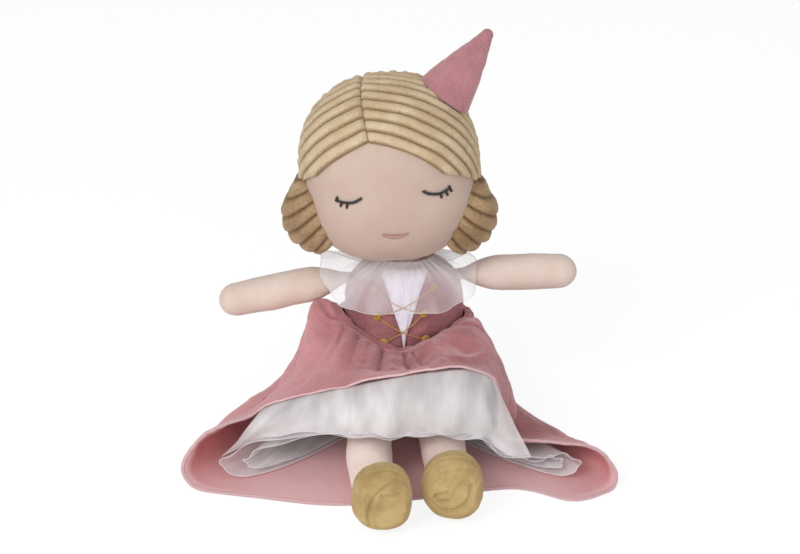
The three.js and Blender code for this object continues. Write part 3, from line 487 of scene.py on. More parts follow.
def make_materials():
    made = {
        "skin": plush("skin_plush", (221, 204, 194), (215, 192, 180), 30, 0.7, 0.25,
                      (255, 240, 230), 0.14, 0.14),
        # The legs' plush is a lighter copy of the skin's: painted light, against the shade of the net over them.
        "leg": plush("leg_plush_painted_light", (250, 234, 225), (244, 222, 211), 30, 0.7, 0.25,
                     (255, 240, 230), 0.14, 0.14),
        "face": plush("face_plush", (198, 176, 163), (190, 166, 153), 38, 0.7, 0.2,
                      (255, 240, 230), 0.12, 0.16),
        # The hair's valley colour is painted shade.
        "hair": plush("ribbed_plush", (208, 188, 158), (190, 167, 134), 20, 1.2, 0.4,
                      (255, 240, 214), 0.5, 0.42, valley=(126, 98, 64)),
        # The buns' plush is a darker copy of the hair's: painted shade, for the shade beside and under the head,
        # with darker painted shade in its valleys.
        "bun": plush("bun_plush_painted_shade", (176, 149, 115), (142, 114, 83), 20, 1.5, 0.4,
                     (255, 236, 206), 0.7, 0.6, valley=(96, 68, 42)),
        "hat": plush("hat_velour", (182, 129, 134), (158, 105, 110), 30, 0.8, 0.9,
                     (255, 214, 218), 0.4, 0.5),
        # The skirt's velour takes a painted sheen towards the doll's right.
        "velour": plush("skirt_velour", (190, 127, 130), (160, 100, 103), 34, 0.8, 0.9,
                        (255, 214, 216), 0.4, 0.5, painted_sheen=(216, 156, 160)),
        "bodice": plush("bodice_velour", (172, 117, 120), (152, 98, 101), 18, 0.8, 0.4,
                        (255, 205, 212), 0.34, 0.5),
        "knit": knit_back(),
        "suede": plush("shoe_suede", (190, 165, 116), (168, 140, 94), 14, 0.7, 0.3,
                       (255, 240, 200), 0.25, 0.35, 0.75),
        "black_thread": thread("lash_thread", (38, 36, 40), 0.55),
        "lip_thread": thread("lip_thread", (190, 144, 131)),
        "lip_fill": thread("lip_fill_thread", (206, 172, 158), 0.55),
        "gold_thread": thread("gold_thread", (206, 162, 76), 0.5, 0.1),
        "hem_thread": thread("hem_thread", (232, 192, 196), 0.65),
        "white_thread": thread("net_edge_thread", (246, 242, 245), 0.6),
        "net": net("fine_net", (253, 250, 252), 0.3, 0.9),
        "veil": net("outer_net", (255, 251, 252), 0.37, 0.9),
        "collar_net": net("collar_net", (252, 249, 252), 0.2, 0.8, 16),
    }
    f = Finish("insert_satin", Roughness=0.34, Sheen_Weight=0.2, Anisotropic=0.5)
    weave = f.noise(0.5, place=f.stretched(f.place, (1, 1, 0.2)))
    base = f.mix(f.levels(f.noise(7), 0.3, 0.7), colour(240, 236, 246), colour(222, 216, 234))
    made["satin"] = f.finish(base, f.bump(weave, 0.06))
    return made


FINISH = make_materials()


# The stuffed body with its bodice.

def on_torso(degrees, z, out=0.0):
    """Points on the body, out from its skin. The degrees run from its front to its left."""
    a = np.radians(degrees)
    width, depth = (smooth(TORSO_LEVELS, halves, z) for halves in (TORSO_HALF_WIDTHS, TORSO_HALF_DEPTHS))
    return stack((width + out) * np.sin(a), -(depth + out) * np.cos(a), z)


def waist_height(degrees):
    """The seam of bodice and skirt, which dips to a point in front."""
    a = np.radians(degrees)
    middle = np.where(np.cos(a) > 0, WAIST_FRONT, WAIST_BACK)
    return middle + (WAIST_SIDE - middle) * np.abs(np.sin(a)) ** 1.6


BODICE_OUT = 1.5
BODICE_TOP = TORSO_TOP - 1.5
INSERT_OUT = 2.5
INSERT_HALF_WIDTHS = [0.4, 1.5, 3.4, 5.6, 8.4, 12.4]  # from its tip up
INSERT_LEVELS = [54.5, 62, 69, 76, 86, 98]


def body():
    around, rows = 168, 120
    degrees = np.arange(around)[None, :] * 360 / around
    levels = np.linspace(TORSO_LEVELS[0], TORSO_TOP, rows)[:, None]
    above = soft_step(-4, -1, levels - waist_height(degrees))
    above = above * soft_step(0.6, -0.6, levels - BODICE_TOP)
    rings = on_torso(degrees, levels, BODICE_OUT * above)
    out = unit(rings * vec(1, 1, 0))
    front = soft_step(60, 15, np.abs((degrees + 180) % 360 - 180))
    creases = 0.55 * wobble(rings * vec(1, 1, 2.2), 13, 3) + 0.3 * wobble(rings * vec(1, 1, 1.5), 6, 4)
    beside = np.abs(rings[..., 0]) - smooth(INSERT_LEVELS, INSERT_HALF_WIDTHS, rings[..., 2])
    pulled = -0.9 * front * bell(beside, 0, 2.2)
    rings = rings + out * (above * (0.7 * creases * front + 0.35 * creases + pulled))[..., None]
    socket = []
    a = np.radians(degrees[0])
    for height in np.linspace(5, -NECK_BALL_RADIUS, 14):
        radius = math.sqrt(max(0.01, (NECK_BALL_RADIUS + SEAM_GAP) ** 2 - height**2))
        socket.append(stack(radius * np.sin(a), -radius * np.cos(a), NECK_BALL_HEIGHT + height))
    rings = np.concatenate([rings, np.array(socket)])
    velour = (above[:-1] > 0.3).astype(int)
    slot = np.concatenate([velour, np.zeros((len(socket), around), int)])
    shape = Shape()
    shape.loft(rings, slot)
    piece = shape.make("body_and_bodice", "torso", [FINISH["skin"], FINISH["bodice"]])
    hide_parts("torso", "bodice_front", "bodice_back")


def front_surface(x, z, out):
    """A point on the front of the bodice, out from the body's skin."""
    half = smooth(TORSO_LEVELS, TORSO_HALF_WIDTHS, z)
    return on_torso(np.degrees(np.arcsin(np.clip(x / half, -0.95, 0.95))), z, out)


def insert():
    levels = np.linspace(INSERT_LEVELS[0], BODICE_TOP - 0.5, 70)[:, None]
    across = np.linspace(-1, 1, 31)[None, :]
    x = across * smooth(INSERT_LEVELS, INSERT_HALF_WIDTHS, levels)
    fold = 0.5 * bell(x, 0.12 * (levels - 60), 1.0) - 0.3 * bell(x, 0.12 * (levels - 60) + 1.8, 0.9)
    crease = 0.22 * wobble(stack(x, levels * 0.4, 0.0), 5, 7)
    grid = front_surface(x, levels, INSERT_OUT + fold + crease - 0.5 * across**4)
    shape = Shape()
    shape.cloth(grid, 0.7)
    piece = shape.make("front_insert_satin", "torso", [FINISH["satin"]])
    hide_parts("front_insert")


# Where the gold lacing is sewn down, across and up from the floor, from its lowest pair up.
ROSETTES = [[(-10.9, 57.8), (11.6, 59.9)], [(-14.6, 73.4), (10.6, 75.6)], [(-16.5, 89.0), (15.5, 90.0)]]
LACING_OUT, CHAIN_STITCH = 3.1, 1.9


def lacing():
    shape = Shape()
    for (left, right), (upper_left, upper_right) in zip(ROSETTES[:-1], ROSETTES[1:]):
        for start, end, lift in ((left, upper_right, 0.0), (right, upper_left, 0.55)):
            t = np.linspace(0, 1, 150)
            x = start[0] + (end[0] - start[0]) * t
            z = start[1] + (end[1] - start[1]) * t - 1.6 * np.sin(np.pi * t)
            path = front_surface(x, z, LACING_OUT + lift * bell(t, 0.5, 0.12))
            along = np.linspace(0, np.hypot(end[0] - start[0], end[1] - start[1]), len(path))
            stitch = 0.12 + 0.3 * np.abs(np.sin(np.pi * along / CHAIN_STITCH)) ** 0.5
            shape.tube(path, stitch, unit(path * vec(1, 1, 0)), 8)
    for x, z in sum(ROSETTES, []):
        rosette(shape, x, z)
    piece = shape.make("gold_lacing", "torso", [FINISH["gold_thread"]])


def rosette(shape, x, z):
    """A little round knot of gold thread, coiled up to a dome about 5 mm across."""
    middle = front_surface(x, z, LACING_OUT - 0.3)
    out = unit(middle * vec(1, 1, 0))
    side = unit(np.cross(out, vec(0, 0, 1)))
    up = np.cross(side, out)
    t = np.linspace(0.3, 1, 170)
    turn = 9 * np.pi * t
    reach = 2.25 * t * (1 + 0.09 * np.sin(15 * turn))
    path = (middle + (reach * np.cos(turn))[:, None] * side + (reach * np.sin(turn))[:, None] * up
            + (1.1 * np.sqrt(1 - 0.9 * t**2))[:, None] * out)
    shape.tube(path, 0.4, out, 7)


# The gathered net collar.

COLLAR = np.array([
    [(0, -14.5, 103.5), (0, -27, 93), (0, -34, 79)],
    [(9, -13.5, 103.7), (18, -25.5, 93), (24, -32, 80)],
    [(15, -8.5, 104.1), (30, -18, 97), (39, -21, 88)],
    [(17.5, 0, 104.1), (28, 0, 103), (40, 0, 101.5)],
    [(15, 8.5, 103.9), (27, 17, 98), (37, 20, 95)],
    [(9, 14, 103.9), (17, 26, 94), (24, 33, 84)],
    [(0, 15.5, 103.7), (0, 28.5, 93), (0, 36, 82)],
    [(-9, 14, 103.9), (-17, 26, 94), (-24, 33, 84)],
    [(-15, 8.5, 104.1), (-30, 17, 98), (-46, 19, 97)],
    [(-17.5, 0, 104.3), (-34, 0, 101.6), (-50, 0, 100)],
    [(-15, -8.5, 103.9), (-30, -18, 95), (-40, -21, 84)],
    [(-9, -13.5, 103.7), (-18, -25.5, 93), (-25, -32, 79)],
], float)

# Where the collar is folded: how far round, counted in rows of the table, how wide, and how high.
COLLAR_FOLDS = [(11.35, 0.16, 2.6), (10.8, 0.2, -1.4), (10.3, 0.28, 3.6), (9.6, 0.22, 2.8),
                (8.9, 0.3, -1.2), (8.2, 0.3, 2.5), (0.85, 0.14, 2.4), (1.35, 0.2, -1.3), (1.9, 0.26, 2.9),
                (2.7, 0.25, 2.2), (3.4, 0.3, -1.4), (4.1, 0.3, 2.6), (5.2, 0.35, 1.8), (6.4, 0.3, 2.3),
                (7.3, 0.3, 1.6), (0.1, 0.3, 0.7)]
COLLAR_OUT, COLLAR_GATHERS = 0.7, 34
NET_THICKNESS = 0.2


def collar():
    around = len(COLLAR)
    columns, rows = 420, 36
    s = np.arange(columns)[None, :] / columns * around
    t = np.linspace(0, 1, rows)[:, None]
    grid = on_table(COLLAR, s, t)
    fold = 0
    for place, width, height in COLLAR_FOLDS:
        gap = (s - place + 6 - 0.25 * (t - 0.5) * np.sin(5 * place)) % around - around / 2
        fold = fold + height * bell(gap, 0, width * (0.75 + 0.5 * t))
    gathers = 0.35 * np.sin(COLLAR_GATHERS * 2 * np.pi * s / around + 2 * np.sin(s))
    fold = fold * t**1.2 + gathers * (1 - t) ** 0.7 * soft_step(0, 0.1, t)
    fold = fold + 0.5 * wobble(grid, 13, 15) * t
    away = unit(grid * vec(1, 1, 0) + vec(0, 0, 6))
    grid = grid + away * (COLLAR_OUT + fold)[..., None]
    coords = stack(s / around * 190, t * 32)
    shape = Shape()
    shape.cloth(grid[:, ::-1], NET_THICKNESS, wrap=True, coords=coords[:, ::-1])
    shape.tube(grid[-1], 0.16, away[-1], 6, closed=True, slot=1)
    piece = shape.make("net_collar", "torso", [FINISH["collar_net"], FINISH["white_thread"]])
    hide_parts("collar")


# The neck, the head and its face.

NECK_TOP = 107.2  # inside the head


def neck():
    a = full_turn(48)
    profile = []
    turn = math.asin(NECK_STEM_RADIUS / NECK_BALL_RADIUS)
    for angle in np.linspace(-np.pi / 2 + 0.08, np.pi / 2 - turn, 18):
        height = NECK_BALL_HEIGHT + NECK_BALL_RADIUS * math.sin(angle)
        profile.append((NECK_BALL_RADIUS * math.cos(angle), height))
    profile += [(NECK_STEM_RADIUS, NECK_TOP - 0.6), (NECK_STEM_RADIUS - 1.5, NECK_TOP)]
    rings = np.array([stack(r * np.cos(a), r * np.sin(a), z) for r, z in profile])
    rings += unit(rings - vec(0, 0, NECK_BALL_HEIGHT)) * 0.15 * wobble(rings, 6, 11)[..., None]
    shape = Shape()
    shape.loft(rings)
    piece = shape.make("stuffed_neck", "neck", [FINISH["skin"]])
    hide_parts("neck")


def head_reach(direction):
    """How far the stuffed head reaches from its middle in each direction."""
    c, s = math.cos(HEAD_ROLL), math.sin(HEAD_ROLL)
    x, y, z = (direction[..., k] for k in range(3))
    own = stack(x * c + z * s, y, z * c - x * s)
    share = (1 + own[..., 2]) / 2
    n = (HEAD_SQUARENESS_CHIN + (HEAD_SQUARENESS_TOP - HEAD_SQUARENESS_CHIN) * share)[..., None]
    return ((np.abs(own / HEAD_HALF) ** n).sum(axis=-1, keepdims=True) ** (-1 / n))[..., 0]


def above_head(points):
    offset = points - HEAD_CENTRE
    return np.linalg.norm(offset, axis=-1) - head_reach(unit(offset))


POLE_HOLE = 0.02  # the angle that a ball's rings leave open at each pole, where its ends are closed


def ball_directions(pole, polar, around):
    """Directions in rings round a pole, for the angles in polar, in radians."""
    pole = unit(np.array(pole, float))
    first = unit(np.cross(pole, vec(0, 1, 0) if abs(pole[1]) < 0.9 else vec(1, 0, 0)))
    second = np.cross(pole, first)
    a = full_turn(around)
    ring = np.cos(a)[:, None] * first + np.sin(a)[:, None] * second
    polar = np.asarray(polar)[:, None, None]
    return np.sin(polar) * ring[None] + np.cos(polar) * pole


def on_face(x, z, out=0.0):
    """Points on the front of the head, at a given place across and up."""
    y = HEAD_CENTRE[1] - 40.0
    for _ in range(30):  # until the point lies on the surface
        y = y + (above_head(stack(x, y, z)) - out)
    return stack(x, y, z)


FACE_NORMAL = vec(0, -1, 0)
THREAD_RADIUS, THREAD_LIFT = 0.3, 0.42
FILL_RADIUS, FILL_LIFT = 0.24, 0.38
LASHES = {
    "right": {"arc": [(-38.5, 152.2), (-36.5, 151.6), (-33.9, 151.4), (-28.7, 152.0), (-23.9, 155.0)],
              "hairs": [[(-37.7, 154.1), (-38.9, 151.1)], [(-34.8, 151.8), (-36.2, 148.8)],
                        [(-31.9, 151.4), (-32.7, 147.8)]]},
    "left": {"arc": [(10.7, 159.0), (13.5, 157.3), (18.3, 156.4), (22.0, 156.9), (25.8, 158.6)],
             "hairs": [[(25.3, 159.9), (26.8, 156.2)], [(23.4, 157.6), (24.6, 154.4)],
                       [(20.5, 157.0), (21.2, 153.3)]]},
}
MOUTH_TOP = [(-12.1, 132.4), (-8.6, 132.0), (-5.2, 131.8), (-1.4, 132.3), (2.5, 133.4)]
MOUTH_BOTTOM = [(-12.1, 132.1), (-8.2, 130.6), (-5.2, 130.1), (-1.8, 130.7), (2.5, 133.2)]


def stitches(shape, points, radius, step):
    """A satin-stitched line: short threads laid side by side across the line."""
    path = curve([(x, 0, z) for x, z in points], 200)
    length = length_along(path)

    def at(place):
        return vec(np.interp(place, length, path[:, 0]), np.interp(place, length, path[:, 2]))

    for place in np.arange(0, length[-1], step):
        x, z = at(place)
        ahead = unit(at(place + 0.3) - at(place - 0.3) + 1e-9)
        across = (vec(-ahead[1], ahead[0]) + 0.35 * ahead) * (1 + 0.28 * math.sin(place * 5.3))
        t = np.linspace(-1, 1, 7)
        thread_path = on_face(x + across[0] * radius * t, z + across[1] * radius * t, -0.1)
        thread_path[:, 1] -= THREAD_LIFT * np.sqrt(np.maximum(0, 1 - t**2))
        shape.tube(thread_path, THREAD_RADIUS, FACE_NORMAL, 6)


def face_features():
    shape = Shape()
    for side in LASHES.values():
        stitches(shape, side["arc"], 0.74, 0.7)
        for hair in side["hairs"]:
            stitches(shape, hair, 0.55, 0.55)
    piece = shape.make("embroidered_lashes", "head", [FINISH["black_thread"]])
    shape = Shape()
    top, bottom = (curve([(x, 0, z) for x, z in line], 60) for line in (MOUTH_TOP, MOUTH_BOTTOM))
    t = np.linspace(0, 1, 7)
    for i in range(2, 58):
        x = top[i, 0] + (bottom[i, 0] - top[i, 0]) * t
        z = top[i, 2] + (bottom[i, 2] - top[i, 2]) * t
        row = on_face(x, z, -0.2)
        row[:, 1] -= FILL_LIFT * np.sqrt(np.maximum(0, 1 - (2 * t - 1) ** 2))
        shape.tube(row, FILL_RADIUS, FACE_NORMAL, 6, slot=1)
    stitches(shape, MOUTH_TOP, 0.34, 0.5)
    stitches(shape, MOUTH_BOTTOM, 0.38, 0.5)
    piece = shape.make("embroidered_mouth", "head", [FINISH["lip_thread"], FINISH["lip_fill"]])


# The stitches pull the face in round themselves, round the mouth in a wide oval.
MOUTH_DENT_X, MOUTH_DENT_Z, MOUTH_DENT_WIDE = -4.8, 131, 2.2
DENT_DEPTH = 0.34


def head():
    rows, around = 150, 220
    directions = ball_directions((0, 0, 1), np.linspace(np.pi - POLE_HOLE, POLE_HOLE, rows), around)
    reach = head_reach(directions)
    points = HEAD_CENTRE + directions * reach[..., None]
    x, y, z = (points[..., k] for k in range(3))
    dents = 0
    for side in LASHES.values():
        for at_x, at_z in side["arc"]:
            dents = dents + bell(np.hypot(x - at_x, z - at_z), 0, 4.2)
    dents = dents + 1.6 * bell(np.hypot((x - MOUTH_DENT_X) / MOUTH_DENT_WIDE, z - MOUTH_DENT_Z), 0, 3.0)
    dents = DENT_DEPTH * np.minimum(dents, 1.8) * (y < -10)
    points = points + directions * (0.45 * wobble(points, 34, 5) - dents)[..., None]
    shape = Shape()
    shape.loft(points)
    piece = shape.make("stuffed_head", "head", [FINISH["face"]])
    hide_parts("head")


# The ribbed plush hair.

# Each panel's ribs run round a pole, at angles from it: from, to, and from rib to rib, in degrees.
LEFT_POLE, RIGHT_POLE, BACK_POLE = (0.232, 0.785, 0.574), (-0.391, 0.565, 0.727), (1, 0, 0)
LEFT_RIBS, RIGHT_RIBS, BACK_RIBS = (37, 111.2, 7.1), (20, 87.2, 8.1), (7, 173, 7.4)
PARTING = unit(vec(0.954, -0.062, 0.292))
TEMPLE_POINT, TEMPLE_SLOPE = vec(-8.5, -4, 148.2), 0.5
RIB_DEPTH = 1.5 * RIB_HEIGHT
STEPS_PER_RIB = 14
POLE_OPENING_DEG = 9  # a panel that comes nearer to its pole is closed there
NAPE_POINT, NAPE_SLOPE = vec(-8.5, 41, 121), 0.55


def rib_shape(ribs):
    """How high the pile stands, from 0 in a valley to 1 on a rib, for a count of ribs."""
    return np.abs(np.sin(np.pi * ribs)) ** 0.6


def hair_panel(name, node, pole, ribs, planes):
    """Ribs round a pole, cut off by planes. The cloth turns in towards the head at each cut."""
    from_deg, to_deg, pitch = ribs
    steps = int((to_deg - from_deg) / pitch * STEPS_PER_RIB)
    polar = np.radians(np.linspace(to_deg, from_deg, steps))
    directions = ball_directions(pole, polar, 320)
    head_radius = head_reach(directions)
    rough = HEAD_CENTRE + directions * head_radius[..., None]
    count = (to_deg - np.degrees(polar))[:, None] / pitch + 0.035 * wobble(rough, 22, 23)
    crest = HAIR_BASE + RIB_HEIGHT
    height = crest - RIB_DEPTH * (1 - rib_shape(count))
    height = height + 0.14 * wobble(rough, 9, 21) + 0.08 * wobble(rough, 3.5, 22)
    for normal, through in planes:
        behind = (through - rough) @ unit(normal)
        height = height * (0.3 + 0.7 * soft_step(-0.6, 2.4, behind) ** 0.6)
    outer = HEAD_CENTRE + directions * (head_radius + height)[..., None]
    mesh = bmesh.new()
    rows, columns = outer.shape[:2]
    verts = [mesh.verts.new(p) for p in outer.reshape(-1, 3)]
    for a, b, c, d in quads(rows, columns, True):
        mesh.faces.new((verts[a], verts[b], verts[c], verts[d]))
    if from_deg < POLE_OPENING_DEG:
        mesh.faces.new(verts[-columns:])
    if to_deg > 180 - POLE_OPENING_DEG:
        mesh.faces.new(verts[:columns][::-1])
    for normal, through in planes:
        everything = mesh.verts[:] + mesh.edges[:] + mesh.faces[:]
        bmesh.ops.bisect_plane(mesh, geom=everything, plane_co=through, plane_no=normal,
                               clear_outer=True, dist=1e-4)
    mesh.verts.index_update()
    top = np.array([v.co for v in mesh.verts])
    faces = [[v.index for v in f.verts] for f in mesh.faces]
    rim = [(e.link_loops[0].vert.index, e.link_loops[0].link_loop_next.vert.index)
           for e in mesh.edges if e.is_boundary]
    mesh.free()
    way = unit(top - HEAD_CENTRE)
    radius = head_reach(way)
    under = HEAD_CENTRE + way * (radius + SEAM_GAP)[:, None]
    place = HEAD_CENTRE + way * radius[:, None]
    from_pole = np.degrees(np.arccos(np.clip(way @ unit(np.array(pole, float)), -1, 1)))
    along = (to_deg - from_pole) / pitch + 0.035 * wobble(place, 22, 23)
    coords = stack(along, top @ vec(0.3, 0.5, 0.8))
    shape = Shape()
    size = len(top)
    faces = faces + [[i + size for i in reversed(f)] for f in faces]
    faces += [(b, a, a + size, b + size) for a, b in rim]
    shape.add(np.concatenate([top, under]), faces, coords=np.concatenate([coords, coords]))
    piece = shape.make(name, "head", [FINISH["hair"]])
    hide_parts(node)


def hair():
    centre = HEAD_CENTRE
    behind_front = (vec(0, 1, 0), vec(0, CORONAL_SEAM_Y - SEAM_GAP, 0))
    temple = (vec(0, -TEMPLE_SLOPE, -1), TEMPLE_POINT)
    hair_panel("left_front_ribs", "left_front_hair", LEFT_POLE, LEFT_RIBS,
               [(-PARTING, centre + PARTING * SEAM_GAP / 2), behind_front, temple])
    hair_panel("right_front_ribs", "right_front_hair", RIGHT_POLE, RIGHT_RIBS,
               [(PARTING, centre - PARTING * SEAM_GAP / 2), behind_front, temple])
    hair_panel("back_ribs", "back_hair", BACK_POLE, BACK_RIBS,
               [(vec(0, -1, 0), vec(0, CORONAL_SEAM_Y, 0)), (vec(0, -NAPE_SLOPE, -1), NAPE_POINT)])


BUN_RIBS, BUN_RIB_DEPTH, BUN_HALF_DEPTH, BUN_REACH = 6, 2.3, 21, 26.3
BUN_SUNK = 1.2  # into the head
BUN_DISTANCE, BUN_FAN, BUN_FAN_DEG = 57, vec(-8.5, -11, 176.5), (22, 62)
BUN_PLACES = [0, 0.12, 0.25, 0.5, 0.7, 0.85, 0.95, 1]
BUN_FULLNESS = [0.1, 0.34, 0.68, 0.96, 1, 0.95, 0.75, 0.4]


def bun(side):
    """A puff whose ribs fan out from a line above the middle of the head."""
    around = 132
    share = np.linspace(0, 1, 120)[:, None]
    turn = np.radians(BUN_FAN_DEG[0] + (BUN_FAN_DEG[1] - BUN_FAN_DEG[0]) * share)
    a = full_turn(around)[None, :]
    full = smooth(BUN_PLACES, BUN_FULLNESS, share)
    count = BUN_RIBS * share + 0.05 * np.sin(2 * a + side)
    rib = 1 - BUN_RIB_DEPTH / BUN_REACH * (1 - rib_shape(count))
    out = BUN_DISTANCE + BUN_REACH * full * rib * np.cos(a)
    back = -side * BUN_HALF_DEPTH * np.sqrt(full) * rib * np.sin(a)
    points = BUN_FAN + stack(side * out * np.cos(turn), back, -out * np.sin(turn))
    centre = points.mean(axis=(0, 1))
    points = points + unit(points - centre) * (0.3 * wobble(points, 10, 31 + side)
                                               + 0.1 * wobble(points, 3.5, 33))[..., None]
    way = unit(points - HEAD_CENTRE)
    far = np.linalg.norm(points - HEAD_CENTRE, axis=-1)
    points = HEAD_CENTRE + way * np.maximum(far, head_reach(way) - BUN_SUNK)[..., None]
    shape = Shape()
    shape.loft(points, coords=stack(count, points[..., 1]))
    name = SIDE_NAMES[side]
    piece = shape.make(f"{name}_ribbed_bun", f"{name}_bun", [FINISH["bun"]])
    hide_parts(f"{name}_bun")


# The pointed hat.

HAT_BASE_RADIUS, HAT_TIP_RADIUS, HAT_BULGE, HAT_LENGTH, HAT_BASE_DEPTH = 20, 3.6, 1.5, 52.3, 9
HAT_SEAM_DEG, HAT_SEAM_DEPTH, HAT_TUCK = 200, 0.7, 0.8


def hat():
    axis = unit(HAT_AXIS)
    side = unit(np.cross(axis, vec(0, 1, 0)))
    across = np.cross(axis, side)
    around, rows = 110, 74
    a = full_turn(around)
    ring = np.cos(a)[:, None] * side + np.sin(a)[:, None] * across
    tip_centre = HAT_LENGTH - HAT_TIP_RADIUS

    def cone(height):
        t = (height + HAT_BASE_DEPTH) / (tip_centre + HAT_BASE_DEPTH)
        radius = HAT_BASE_RADIUS + (HAT_TIP_RADIUS - HAT_BASE_RADIUS) * t
        radius = radius + HAT_BULGE * np.sin(np.pi * np.clip(t, 0, 1))
        return HAT_FOOT + height[:, None] * axis + radius[:, None] * ring

    def above_hair(points):
        return above_head(points) - HAIR_BASE - 0.8 * RIB_HEIGHT

    foot = np.full(around, -float(HAT_BASE_DEPTH))
    for _ in range(60):  # until its foot follows the ribs of the hair
        foot = foot - 0.35 * above_hair(cone(foot))
    rings = [cone(foot + (tip_centre - foot) * share) for share in np.linspace(0, 1, rows)]
    tip = HAT_FOOT + axis * tip_centre
    for angle in np.linspace(0.15, np.pi / 2 - 0.05, 9):
        rings.append(tip + HAT_TIP_RADIUS * (math.cos(angle) * ring + math.sin(angle) * axis))
    rings = np.array(rings)
    middle = rings[0].mean(axis=0)
    under = [middle + (rings[0] - middle) * share for share in np.linspace(0.08, 0.96, 12)]
    for row in under:
        row += unit(row - HEAD_CENTRE) * (SEAM_GAP - above_hair(row) + 0.25 * RIB_HEIGHT)[:, None]
    out = unit(rings - (HAT_FOOT + ((rings - HAT_FOOT) @ axis)[..., None] * axis))
    height = (rings - HAT_FOOT) @ axis
    tuck = HAT_TUCK * bell(np.linspace(0, 1.2, len(rings)), 0, 0.03)[:, None]
    lumps = 0.45 * wobble(rings, 17, 41) + 0.16 * wobble(rings, 5, 42)
    seam = HAT_SEAM_DEPTH * bell(np.degrees(a) % 360, HAT_SEAM_DEG, 4)[None, :]
    rings = rings + out * (lumps * soft_step(52, 44, height) - tuck - seam)[..., None]
    shape = Shape()
    shape.loft(np.concatenate([np.array(under), rings]))
    piece = shape.make("pointed_hat", "head", [FINISH["hat"]])
    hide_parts("hat")


# Arms, legs and shoes.

def shoulder_pivot(side):
    height = SHOULDER_HEIGHT[side]
    half = float(smooth(TORSO_LEVELS, TORSO_HALF_WIDTHS, height))
    return vec(side * (half + TAB_KNUCKLE + SEAM_GAP), 0, height)


ARM_RADIUS = 10.6
ARM_SHAPE = {1: {"length": 64, "rise": 1.5, "forward": 0}, -1: {"length": 71.5, "rise": -10.5, "forward": 5}}


def limb_rings(widths, heights, middles, across, up, around):
    a = full_turn(around)
    wide = np.asarray(widths)[:, None, None] * np.cos(a)[None, :, None] * across
    high = np.asarray(heights)[:, None, None] * np.sin(a)[None, :, None] * up
    return np.asarray(middles)[:, None, :] + wide + high


def arm(side):
    spec = ARM_SHAPE[side]
    radius, length = ARM_RADIUS, spec["length"]
    end = TAB_REACH + length
    stations = [-TAB_KNUCKLE, -1.4, 0, 3, TAB_REACH + 1, TAB_REACH + 5, TAB_REACH + 10, TAB_REACH + 15,
                TAB_REACH + 0.45 * length, TAB_REACH + 0.7 * length, end - radius]
    heights = [0.6, 1.7, 2.25, 3.0, 0.52 * radius, 0.72 * radius, 0.9 * radius, 0.98 * radius,
               1.02 * radius, 0.99 * radius, 0.95 * radius]
    widths = [6.6, 6.9, 7.0, 7.1, 0.74 * radius, 0.86 * radius, 0.95 * radius, radius,
              1.02 * radius, 0.98 * radius, 0.95 * radius]
    x = np.concatenate([np.linspace(-TAB_KNUCKLE, end - radius, 90),
                        end - radius + radius * np.sin(np.linspace(0.08, 1.54, 22))])
    tip = np.sqrt(np.maximum(0.0, 1 - (np.maximum(0, x - end + radius) / radius) ** 2))
    w, h = smooth(stations, widths, x) * tip, smooth(stations, heights, x) * tip
    rise, forward = math.radians(spec["rise"]), math.radians(spec["forward"])
    out = vec(side * math.cos(rise), 0, math.sin(rise))
    up = vec(-side * math.sin(rise), 0, math.cos(rise))
    ahead = vec(0, -1, 0)
    pivot = shoulder_pivot(side)
    fold = pivot + TAB_REACH * out
    swung = math.cos(forward) * out + math.sin(forward) * ahead
    turn = soft_step(TAB_REACH - 3, TAB_REACH + 3, x)[:, None]
    middles = pivot + x[:, None] * out
    middles = np.where(x[:, None] > TAB_REACH, fold + (x[:, None] - TAB_REACH) * swung, middles)
    across = unit(ahead + turn * (math.cos(forward) * ahead - math.sin(forward) * out - ahead))
    rings = limb_rings(w, h, middles, across[:, None, :] * -side, up, 72)
    way = unit(rings - middles[:, None, :])
    reach = x[:, None]
    folds = 0.35 * wobble(rings, 26, 51 + side) + 0.05 * wobble(rings, 5, 53)
    folds = folds * soft_step(6, 16, reach) * soft_step(end + 1, end - 9, reach)
    rings = rings + way * folds[..., None]
    shape = Shape()
    shape.loft(rings)
    name = SIDE_NAMES[side]
    piece = shape.make(f"{name}_stuffed_arm", None, [FINISH["skin"]])
    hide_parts(f"{name}_shoulder_tab", f"{name}_arm")
    start, stop = (pivot + (TAB_REACH - 4) * out) * MM, (pivot + (TAB_REACH + 4) * out) * MM
    tuple(start)
    tuple(stop)
    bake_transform(piece)


LEG_RADIUS, LEG_AXIS_HEIGHT = 12.8, 16.2
LEG_SHAPE = {1: {"ankle": vec(25, -123.5, LEG_AXIS_HEIGHT), "bow": 1},
             -1: {"ankle": vec(-16, -134.5, LEG_AXIS_HEIGHT), "bow": -3.5}}


def hip_pivot(side):
    half = float(smooth(TORSO_LEVELS, TORSO_HALF_WIDTHS, HIP_Z))
    skin = float(smooth(TORSO_LEVELS, TORSO_HALF_DEPTHS, HIP_Z)) * math.sqrt(1 - (HIP_X / half) ** 2)
    return vec(side * HIP_X, -skin - TAB_KNUCKLE - SEAM_GAP, HIP_Z)


